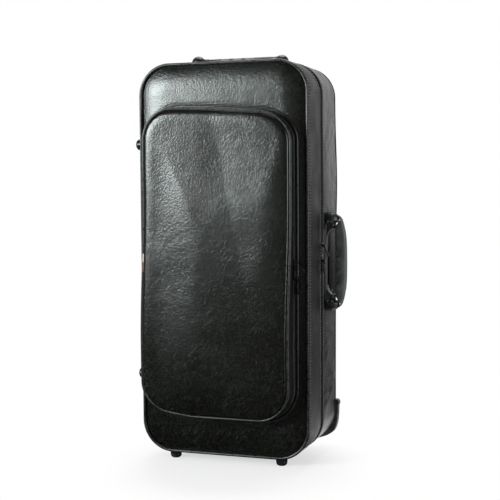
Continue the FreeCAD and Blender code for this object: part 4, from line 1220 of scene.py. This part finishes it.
def handles(look):
    """Side handle with its grip out, and top handle with its grip laid to the back."""
    side, top = centre("side_handle_base"), centre("top_handle_base")
    side_place = Matrix.Translation((MIDDLE_X + HALF_WIDTH, side.y, side.z))
    top_place = Matrix.Translation((top.x, top.y, UNDER_Z + HEIGHT)) @ Matrix.Rotation(math.pi, 4, Vector((1, 0, 1)))
    pivot = Matrix.Translation((HANDLE_PIVOT, 0, 0))
    laid = pivot @ Matrix.Rotation(math.radians(TOP_GRIP_LAID), 4, "Z") @ pivot.inverted()
    dip = Matrix.Translation((-0.0010, 0, 0)) @ Matrix.Rotation(math.radians(TOP_HANDLE_DIP), 4, "Y")
    for word, place, rest, set_in, ends in (  # ends: radius, middle and flat face of the domes
            ("side", side_place, Matrix(), Matrix(), (0.0118, 0.0630, 0.0618)),
            ("top", top_place, laid, dip, (0.0104, 0.0676, 0.0560))):
        base = put(handle_base(word + "_handle_cradle", ends, look["moulded"]), place @ set_in)
        own(base, "rear_half", "handle_plastic", word + "_handle_base")
        if word == "side":
            # A near-black sheet of painted shade on the shell behind the side handle.
            own(painted_shade_patch(place, look["patch"]), "rear_half", "leather_cover")
        bar = put(grip(word + "_handle_bar", look["grip"]), place @ rest)
        own(bar, word + "_grip", "handle_plastic", word + "_handle_grip")


def studs_and_feet(look):
    """Turned feet and studs: a straight rim, a polished dome and a shallow ring."""
    profile = [
        (0.0078, 0.0), (0.0084, 0.0003), (0.0086, 0.0009), (0.0086, 0.0050), (0.0084, 0.0056), (0.0082, 0.0059),
        (0.0084, 0.0063), *arc(0.0036, 0.0070, 0.0048, 0.0050, 0.0, 90.0, 8)[1:]]
    points, faces = lathe(profile, 40)
    rows = (
        ("foot_front", "lid", "right", "left"), ("foot_rear", "rear_half", "right", "left"),
        ("stud_lid", "lid", "upper", "lower"), ("stud_rear", "rear_half", "upper", "lower"))
    for row, body, *words in rows:
        for word in words:
            node = "%s_%s" % (row, word)
            root = centre(node)
            if row.startswith("foot"):
                root.z = UNDER_Z
                place = turn_to((0, 0, -1), root)
            else:
                root.x = MIDDLE_X - HALF_WIDTH
                place = turn_to((-1, 0, 0), root)
            turned = [place @ Vector(point) for point in points]
            own(build("case_" + node, turned, faces, look["polished"]), body, "stud_plastic", node)


def corner_guards(look):
    """Moulded wedges at the rear bottom corners, each with a strap eye and a sunk screw."""
    right = [
        (0.0995, -0.0016), (0.1080, 0.0012), (0.1165, 0.0045), (0.12250, 0.0082), (0.1272, 0.0120), (0.1300, 0.0170),
        (0.1320, 0.0235), (0.1333, 0.0310), (0.1340, 0.0420), (0.1343, 0.0530), (0.1355, 0.0560), (0.1357, 0.0590),
        (0.1345, 0.0612), (0.1320, 0.0626), (0.1292, 0.0626), (0.1268, 0.0610), (0.1255, 0.0580), (0.1240, 0.0540),
        (0.1205, 0.0470), (0.1160, 0.0400), (0.1112, 0.0290), (0.1070, 0.0170), (0.1030, 0.0070),
    ]
    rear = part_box("corner_guard_right")[1][1] - FRONT_Y
    for word, sign in (("right", 1), ("left", -1)):
        points, faces = prism([(sign * x, z) for x, z in right], BODY_DEPTH - 0.0006, rear)
        body = build("corner_guard_body_" + word, [at(x, y, z) for x, z, y in points], faces, look["moulded"])
        soften(body, 0.0016, segments=4, angle=30.0)
        points, faces = ring_form(inner=0.0019, outer=0.0036, height=0.0012)
        eye = [at(sign * 0.1306 + x, rear - 0.0004 + z, 0.0575 + y) for x, y, z in points]
        collar = build("corner_guard_eye_" + word, eye, faces, look["plated"])
        own(body, "rear_half", "handle_plastic", "corner_guard_" + word)
        own(collar, "rear_half", "bright_steel")


def ring_form(inner, outer, height):
    """Small rounded ring lying flat."""
    middle, reach = (inner + outer) / 2, (outer - inner) / 2
    around, sides = 32, 10
    points = []
    for x, y in circle(around):
        for c, s in circle(sides):
            points.append(((middle + reach * c) * x, (middle + reach * c) * y, height * s))
    return points, grid_faces(around, sides, True, True)


def hinge(look, sizes):
    """Leather hinge sewn over the left side, between the rear shell and the lid."""
    half, low, high = 0.0152, CORNER, HEIGHT - CORNER
    rows, stations = 160, 26
    points, uvs = [], []
    for r in range(rows + 1):
        z = low + (high - low) * r / rows
        loop = []
        for k in range(stations + 1):
            t = -1 + 2 * k / stations
            y = ZIP_Y + half * t
            out = 0.0012 - 0.0007 * math.exp(-((abs(t) - 1) / 0.08) ** 2) - 0.0004 * math.exp(-(t / 0.18) ** 2)
            loop.append((out + 0.00012 * noise.noise(Vector((y * 200, z * 60, 4.0))), y))
        loop += [(0.0002, ZIP_Y + half), (0.0002, ZIP_Y - half)]
        points += [at(-HALF_WIDTH - out, y, z) for out, y in loop]
        uvs += [(z, y) for out, y in loop]
    strip = build("hinge_leather", points, tube_faces(rows + 1, stations + 3), look["side_leather"], uvs)
    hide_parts("hinge_leaf_rear", "hinge_leaf_lid")
    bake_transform(strip)
    stitch = pill(sizes.stitch_length, width=0.0010, height=0.0008)
    pitch, margin, seam, out = sizes.stitch_length * 1.42, 0.004, 0.0122, 0.0012
    for word, body, side in (("rear", "rear_half", 1), ("lid", "lid", -1)):
        places = []
        z = low + margin
        while z < high - margin:
            places.append((at(-HALF_WIDTH - out, ZIP_Y + side * seam, z), (0, 0, 1), (-1, 0, 0)))
            z += pitch
        own(scatter("hinge_stitches_" + word, stitch, places, look["thread"]), body, "leather_cover")


# Inside

def polygon_distance(x, z, corners):
    """Distance inside a closed polygon, negative outside it."""
    nearest = np.full(x.shape, 1e9)
    inside = np.zeros(x.shape, bool)
    count = len(corners)
    for k in range(count):
        ax, az = corners[k]
        bx, bz = corners[(k + 1) % count]
        dx, dz = bx - ax, bz - az
        t = np.clip(((x - ax) * dx + (z - az) * dz) / (dx * dx + dz * dz), 0, 1)
        nearest = np.minimum(nearest, np.hypot(x - ax - t * dx, z - az - t * dz))
        crosses = (az > z) != (bz > z)
        with np.errstate(divide="ignore", invalid="ignore"):
            reach = (bx - ax) * (z - az) / (bz - az) + ax
        inside ^= crosses & (x < reach)
    return np.where(inside, nearest, -nearest)


def well_corners(flip):
    """Plan of the hollow for one trumpet, bell at one end."""
    half, low, high = body_outline(LINING_INSET)[:3]
    left = -half + 0.008
    bottom, top = low + 0.022, high - 0.022
    corners = [
        (left, bottom), (left + 0.123, bottom), (left + 0.123, bottom + 0.048),
        (left + 0.074, bottom + 0.178), (left + 0.074, top), (left, top),
    ]
    if flip:
        corners = [(-x, HEIGHT - z) for x, z in corners]
    return corners


def plush_inside(look):
    """Foam bed with its two hollows, pad in the lid, linings, straps and the mouthpiece block."""
    outline = body_outline(LINING_INSET + 0.0002)
    well_depth, rim_drop, rim_width = 0.0508, 0.004, 0.006
    x, z, edge = panel_grid(*outline, spacing=0.0026)
    sunk = np.zeros_like(x)
    for flip in (False, True):
        deep = polygon_distance(x, z, well_corners(flip))
        sunk = np.maximum(sunk, ease(np.clip((deep + 0.0006) / 0.0042, 0.0, 1.0)) * well_depth)
    rim = rim_drop * np.clip(1 - edge / rim_width, 0, 1) ** 2
    pile = crumple(upright(x, z, sunk), scale=90.0, seed=41, octaves=3) * 0.0004
    face = BED_FACE_Y + 0.0002 + rim + sunk + np.abs(pile)
    bed = slab("foam_bed_plush", x, z, face, REAR_INSIDE_Y - 0.0001, look["plush"])
    own(bed, "rear_half", "plush_lining", "foam_bed")
    edge_depth, pad_swell = 0.0035, 0.0104
    x, z, edge = panel_grid(*outline, spacing=0.0045)
    swell = np.sin(np.clip((edge - 0.007) / 0.012, 0.0, 1.0) * math.pi / 2)
    pile = crumple(upright(x, z, 0.7), scale=30.0, seed=43, octaves=3) * 0.0003
    depth = edge_depth + pad_swell * swell + pile
    pad = slab("lid_pad_plush", x, z, LID_INSIDE_Y + 0.0001, LID_INSIDE_Y + depth, look["plush"])
    own(pad, "lid", "plush_lining", "lid_pad")
    linings(look["plush"])
    straps(look)
    block(look["plush"])


def linings(material):
    """Plush drawn over the inner face and the free edge of both frames."""
    inner = INSIDE_INSET + 0.00005
    outer = FRAME_INSET + 0.0012
    for name, body, root, edge in (
            ("lid_lining", "lid", LID_INSIDE_Y + 0.0001, LID_FRAME_END + 0.00005),
            ("rear_lining", "rear_half", BED_FACE_Y + 0.002, REAR_FRAME_START - 0.00005)):
        way = 1 if edge > root else -1
        profile = [
            (-inner, root), (-inner, edge), (-outer, edge), (-outer, edge + way * 0.0003),
            (-inner - 0.00022, edge + way * 0.0003), (-inner - 0.00028, edge), (-inner - 0.00028, root),
        ]
        own(skirt(name, body_outline(), LINING_SPACING, profile, material), body, "plush_lining")


def strap(name, low, high, waves, material):
    """Flat webbing strap with thickness, slightly uneven along its length."""
    along, across = 60, 10
    x, z = np.meshgrid(np.linspace(low[0], high[0], along + 1), np.linspace(low[2], high[2], across + 1), indexing="ij")
    lift = waves * 0.25 * (1 - np.cos((x - low[0]) / (high[0] - low[0]) * 6 * math.pi))
    round_off = 0.0003 * np.exp(-np.minimum(z - low[2], high[2] - z) / 0.0008)
    return closed_sheet(name, x, z, low[1] + lift + round_off, high[1] - round_off, material)


def straps(look):
    """Two hold-down straps, each closed by a patch of hooks."""
    inset = 0.0016
    first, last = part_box("strap_hook_patches")
    for word, nodes in (("lower", ["strap_hook_patches"]), ("upper", [])):
        low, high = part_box("hold_down_strap_" + word)
        band = strap("webbing_strap_" + word, low, high, 0.0006, look["webbing"])
        own(band, "rear_half", "strap_webbing", "hold_down_strap_" + word)
        patch_low, patch_high = (first[0], first[1], low[2] + inset), (last[0], last[1], high[2] - inset)
        patch = strap("hook_patch_" + word, patch_low, patch_high, 0.0, look["hooks"])
        own(patch, "rear_half", "strap_webbing", *nodes)


def block(material):
    """Mouthpiece block: soft edges and two round bores."""
    low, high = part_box("mouthpiece_block")
    bottom, top = low[2] - UNDER_Z, high[2] - UNDER_Z
    bore_radius, bore_offset, bore_depth = 0.0135, 0.020, 0.0238
    x, z, edge = panel_grid((high[0] - low[0]) / 2, bottom, top, radius=0.004, spacing=0.0008)
    sunk = 0.0030 * np.clip(1 - edge / 0.0035, 0, 1) ** 2
    for side in (-1, 1):
        deep = bore_radius - np.hypot(x, z - (bottom + top) / 2 - side * bore_offset)
        sunk = np.maximum(sunk, ease(np.clip((deep + 0.0002) / 0.0016, 0.0, 1.0)) * bore_depth)
    piece = slab("mouthpiece_block_plush", x, z, low[1] - FRONT_Y + sunk, high[1] - FRONT_Y, material)
    own(piece, "rear_half", "plush_lining", "mouthpiece_block")


# Stage

def camera():
    """Camera at the photograph's place and angle."""
    turn, down, roll = 0.32955015, 0.06392292, -0.00719772
    focal_length, picture_width = 1113.90, 500.0
    data = bpy.data.cameras.new("case_camera")
    data.sensor_width = 36.0
    data.lens = focal_length / picture_width * data.sensor_width
    data.clip_end = 50.0
    thing = bpy.data.objects.new("case_camera", data)
    bpy.context.scene.collection.objects.link(thing)
    right = Vector((math.cos(turn), math.sin(turn), 0))
    ahead = Vector((-math.sin(turn), math.cos(turn), 0))
    above = Vector((0, 0, 1))
    forward = ahead * math.cos(down) - above * math.sin(down)
    upward = above * math.cos(down) + ahead * math.sin(down)
    rolled_right = right * math.cos(roll) + upward * math.sin(roll)
    rolled_up = upward * math.cos(roll) - right * math.sin(roll)
    place = Matrix((rolled_right, rolled_up, -forward)).transposed().to_4x4()
    place.translation = at(0.56534, -1.53021, 0.40972)
    thing.matrix_world = place
    bpy.context.scene.camera = thing


def lamp(name, place, target, width, height, power, colour=(1, 1, 1)):
    """Soft box that faces a target."""
    data = bpy.data.lights.new(name, "AREA")
    data.shape = "RECTANGLE"
    data.size = width
    data.size_y = height
    data.energy = power
    data.color = colour
    thing = bpy.data.objects.new(name, data)
    bpy.context.scene.collection.objects.link(thing)
    thing.location = place
    thing.rotation_mode = "QUATERNION"
    thing.rotation_quaternion = (place - target).to_track_quat("Z", "Y")


def floor():
    """Pale floor that takes a soft shadow for the camera; for mirrored rays it is a glow of painted reflection, dim
    close in front of the case and bright close behind it.
    """
    mesh = bpy.data.meshes.new("floor")
    size = 9.0
    mesh.from_pydata([(-size, -size, 0), (size, -size, 0), (size, size, 0), (-size, size, 0)], [], [(0, 1, 2, 3)])
    thing = link(mesh, "floor", bpy.data.materials.new("studio_floor"))
    nodes = Nodes(thing.data.materials[0])
    matt = nodes.add("ShaderNodeBsdfPrincipled", {
        "Base Color": (0.84, 0.80, 0.805, 1), "Roughness": 0.9, "Specular IOR Level": 0.1}).outputs["BSDF"]
    rays = nodes.add("ShaderNodeLightPath", {}).outputs
    place = nodes.add("ShaderNodeTexCoord", {}).outputs["Object"]
    shifted = nodes.add("ShaderNodeMapping", {"Location": (-0.02, 0.09, 0.0), "Vector": place}).outputs["Vector"]
    away = nodes.add("ShaderNodeVectorMath", {0: shifted}, operation="LENGTH").outputs["Value"]

    def glow(strength):
        return nodes.add("ShaderNodeEmission", {"Strength": strength}).outputs["Emission"]

    near = nodes.mix(nodes.remap(away, 0.10, 0.24, 0.60, 1.0), matt, glow(1.0))
    for_camera = nodes.mix(rays["Is Camera Ray"], matt, near)
    # Mirrored rays see painted reflection: the floor glows, dim near the front of the case and brighter than white just
    # behind it, fading to a dim even glow far away.
    behind = nodes.remap(nodes.part(place, "Y"), -0.03, 0.12)
    mirrored = nodes.mix(
        behind, glow(nodes.remap(away, 0.25, 3.0, 0.010, 0.24)), glow(nodes.remap(away, 0.28, 0.52, 1.25, 0.24)))
    nodes.add("ShaderNodeOutputMaterial", {"Surface": nodes.mix(rays["Is Glossy Ray"], for_camera, mirrored)})


def room():
    """White backdrop for the camera; dim soft light from the room in front, white behind the case."""
    world = bpy.data.worlds.new("studio")
    bpy.context.scene.world = world
    nodes = Nodes(world)
    white = (1, 1, 1, 1)
    fill = nodes.add("ShaderNodeBackground", {"Color": white, "Strength": 0.42}).outputs["Background"]
    rays = nodes.add("ShaderNodeLightPath", {}).outputs
    place = nodes.add("ShaderNodeTexCoord", {}).outputs["Generated"]
    behind = nodes.remap(nodes.part(place, "Y"), 0.50, 0.95, 0.03, 0.92)
    strength = nodes.combine("MAXIMUM", rays["Is Camera Ray"], behind)
    backdrop = nodes.add("ShaderNodeBackground", {"Color": white, "Strength": strength}).outputs["Background"]
    seen = nodes.combine("MAXIMUM", rays["Is Camera Ray"], rays["Is Glossy Ray"])
    seen = nodes.combine("MAXIMUM", seen, rays["Is Transmission Ray"])
    nodes.add("ShaderNodeOutputWorld", {"Surface": nodes.mix(seen, fill, backdrop)})


# Settings and operators

def length_setting(name, description, default, least):
    """A length in metres for the panel."""
    return FloatProperty(name=name, description=description, default=default, min=least, unit="LENGTH")


def colour_setting(name, description, default):
    """A colour for the panel."""
    return FloatVectorProperty(name=name, description=description, subtype="COLOR", default=default)


class CaseSizes(bpy.types.PropertyGroup):
    """Sizes of the dressing that can be changed."""

    fold_depth: length_setting("Fold depth", "How deep the soft folds in the leather are", 0.0009, 0.0)
    stitch_length: length_setting("Stitch length", "Length of one visible stitch", 0.0030, 0.0005)
    tooth_pitch: length_setting("Tooth pitch", "Distance from one zip tooth to the next", 0.0020, 0.0008)


class CaseColours(bpy.types.PropertyGroup):
    """Colours of the finishes that can be changed."""

    leather_dark: colour_setting("Leather", "Ground colour of the leather", (0.0014, 0.0015, 0.0009))
    leather_pale: colour_setting("Leather creases", "Colour of the rubbed creases", (0.017, 0.018, 0.015))
    plush_dark: colour_setting("Plush", "Ground colour of the plush", (0.022, 0.022, 0.025))
    plush_pale: colour_setting("Plush highlights", "Colour of the brushed pile", (0.075, 0.075, 0.082))
    tab_red: colour_setting("Tab, lower half", "Colour of the tab's lower half", (0.15, 0.060, 0.052))
    tab_ochre: colour_setting("Tab, upper half", "Colour of the tab's upper half", (0.36, 0.33, 0.24))


# Materials by the names that the pieces ask for; CASE_OT_finishes fills it
LOOK = {}


class CASE_OT_finishes(bpy.types.Operator):
    """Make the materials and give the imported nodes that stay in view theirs"""
    bl_idname = "case.finishes"
    bl_label = "Finishes"

    def execute(self, context):
        colours = context.scene.case_colours
        dark, pale = tuple(colours.leather_dark), tuple(colours.leather_pale)
        LOOK.update({
            "leather": leather("case_leather", dark, pale, 0.19, 0.26, 0.42, 0.5, 1.0),
            "side_leather": leather("case_side_leather", dark, pale, 0.26, 0.38, 0.50, 1.6, 0.8),
            "gusset": gusset_leather("case_gusset_leather", dark, tuple(c * 0.5 for c in pale)),
            "piping": piping_leather("case_piping", 0.5),
            "dull_piping": piping_leather("case_dull_piping", 0.10),
            "thread": thread("case_thread", (0.08, 0.08, 0.08), (0.22, 0.22, 0.215)),
            "tape": woven("zip_tape", (0.008, 0.008, 0.009), (0.03, 0.03, 0.032), 0.0007, 0.8),
            "teeth": moulded("zip_coil", (0.012, 0.012, 0.012), (0.035, 0.035, 0.035), 0.35, 0.5),
            "lacquer": lacquered("zip_lacquer"),
            "moulded": moulded("handle_plastic", (0.010, 0.011, 0.011), (0.028, 0.029, 0.028), 0.30, 0.42),
            # The patch finish is painted shade: near black and dull, for the sheet where the grip shades the shell.
            "patch": piping_leather("handle_painted_shade", 0.02, (0.0018, 0.0018, 0.0018), (0.0065, 0.0065, 0.0065)),
            "grip": moulded("grip_rubber", (0.050, 0.053, 0.053), (0.085, 0.088, 0.087), 0.42, 0.55),
            "polished": moulded("stud_plastic", (0.008, 0.008, 0.009), (0.016, 0.016, 0.017), 0.14, 0.24),
            "plated": plated("plated_steel"),
            "plush": plush("case_plush", tuple(colours.plush_dark), tuple(colours.plush_pale)),
            "webbing": woven("strap_webbing", (0.010, 0.010, 0.011), (0.045, 0.045, 0.048), 0.0012, 0.75),
            "hooks": woven("strap_hooks", (0.006, 0.006, 0.006), (0.028, 0.028, 0.028), 0.0018, 0.6),
            "tab": banded("seam_tab_cloth", tuple(colours.tab_red), tuple(colours.tab_ochre), 0.0145),
            "board": fibreboard("shell_board"),
        })
        left_as_packed = {
            "board": ("lid_board", "lid_frame", "rear_board", "rear_frame"),
            "plated": (
                "corner_guard_screws", "side_handle_pins", "side_handle_backplate", "side_handle_screws",
                "top_handle_pins", "top_handle_backplate", "top_handle_screws"),
        }
        for key, nodes in left_as_packed.items():
            for node in nodes:
                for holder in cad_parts[node].material_slots:
                    holder.material = LOOK[key]
        return {"FINISHED"}


class CASE_OT_covers(bpy.types.Operator):
    """Build the leather over the lid and the rear shell"""
    bl_idname = "case.covers"
    bl_label = "Leather covers"

    def execute(self, context):
        sizes = context.scene.case_sizes
        lid_covers(LOOK, sizes)
        rear_covers(LOOK, sizes)
        return {"FINISHED"}


class CASE_OT_pocket(bpy.types.Operator):
    """Build the padded front pocket and its tab"""
    bl_idname = "case.pocket"
    bl_label = "Front pocket"

    def execute(self, context):
        pocket(LOOK, context.scene.case_sizes)
        return {"FINISHED"}


class CASE_OT_piping(bpy.types.Operator):
    """Build the piping along every edge"""
    bl_idname = "case.piping"
    bl_label = "Piping"

    def execute(self, context):
        pipings(LOOK)
        return {"FINISHED"}


class CASE_OT_stitches(bpy.types.Operator):
    """Sew the rows of stitches"""
    bl_idname = "case.stitches"
    bl_label = "Stitches"

    def execute(self, context):
        stitches(LOOK, context.scene.case_sizes)
        return {"FINISHED"}


class CASE_OT_hinge(bpy.types.Operator):
    """Build the leather hinge on the left side"""
    bl_idname = "case.hinge"
    bl_label = "Leather hinge"

    def execute(self, context):
        hinge(LOOK, context.scene.case_sizes)
        return {"FINISHED"}


class CASE_OT_zips(bpy.types.Operator):
    """Build the tapes, teeth, sliders and pulls of both zips"""
    bl_idname = "case.zips"
    bl_label = "Zips"

    def execute(self, context):
        zip_bands(LOOK, context.scene.case_sizes)
        sliders(LOOK)
        return {"FINISHED"}


class CASE_OT_handles(bpy.types.Operator):
    """Build the two swing handles"""
    bl_idname = "case.handles"
    bl_label = "Handles"

    def execute(self, context):
        handles(LOOK)
        return {"FINISHED"}


class CASE_OT_fittings(bpy.types.Operator):
    """Build the feet, studs and corner guards"""
    bl_idname = "case.fittings"
    bl_label = "Feet, studs and guards"

    def execute(self, context):
        studs_and_feet(LOOK)
        corner_guards(LOOK)
        return {"FINISHED"}


class CASE_OT_inside(bpy.types.Operator):
    """Build the plush bed, pad, linings, straps and mouthpiece block"""
    bl_idname = "case.inside"
    bl_label = "Inside"

    def execute(self, context):
        plush_inside(LOOK)
        return {"FINISHED"}


class CASE_OT_stage(bpy.types.Operator):
    """Set the camera, the lamps, the floor and the backdrop"""
    bl_idname = "case.stage"
    bl_label = "Stage"

    def execute(self, context):
        context.scene.view_settings.view_transform = "Standard"
        camera()
        floor()
        room()
        aim = at(0.0, 0.02, 0.30)
        lamp("key_softbox", at(-1.40, -1.91, 0.86), aim, 1.02, 0.67, 76.0, (0.91, 1.0, 0.985))
        lamp("front_softbox", at(-0.37, -2.36, 0.56), aim, 1.15, 0.55, 0.9, (0.92, 1.0, 0.985))
        lamp("top_softbox", at(-0.05, 0.75, 2.3), aim, 1.4, 0.9, 34.0)
        lamp("right_softbox", at(2.2, -0.45, 0.70), aim, 0.9, 1.4, 27.0, (0.92, 1.0, 0.99))
        return {"FINISHED"}


class CASE_PT_panel(bpy.types.Panel):
    """Lists the pieces of the case"""
    bl_label = "Trumpet Case"
    bl_idname = "CASE_PT_panel"
    bl_space_type = "VIEW_3D"
    bl_region_type = "UI"
    bl_category = "Case"

    def draw(self, context):
        layout = self.layout
        for group in (context.scene.case_sizes, context.scene.case_colours):
            for name in group.__annotations__:
                layout.prop(group, name)
        for operator in OPERATORS:
            layout.operator(operator.bl_idname)


OPERATORS = (
    CASE_OT_finishes, CASE_OT_stage, CASE_OT_covers, CASE_OT_pocket, CASE_OT_piping, CASE_OT_stitches,
    CASE_OT_hinge, CASE_OT_zips, CASE_OT_handles, CASE_OT_fittings, CASE_OT_inside,
)
CLASSES = (CaseSizes, CaseColours) + OPERATORS + (CASE_PT_panel,)


def register():
    """Adds the panel, its settings and its operators."""
    for item in CLASSES:
        bpy.utils.register_class(item)
    bpy.types.Scene.case_sizes = PointerProperty(type=CaseSizes)
    bpy.types.Scene.case_colours = PointerProperty(type=CaseColours)


def unregister():
    """Takes them away again."""
    del bpy.types.Scene.case_colours
    del bpy.types.Scene.case_sizes
    for item in reversed(CLASSES):
        bpy.utils.unregister_class(item)


def main():
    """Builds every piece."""
    register()
    bpy.ops.case.finishes()
    bpy.ops.case.stage()
    bpy.ops.case.covers()
    bpy.ops.case.pocket()
    bpy.ops.case.piping()
    bpy.ops.case.stitches()
    bpy.ops.case.hinge()
    bpy.ops.case.zips()
    bpy.ops.case.handles()
    bpy.ops.case.fittings()
    bpy.ops.case.inside()


if __name__ == "__main__":
    main()
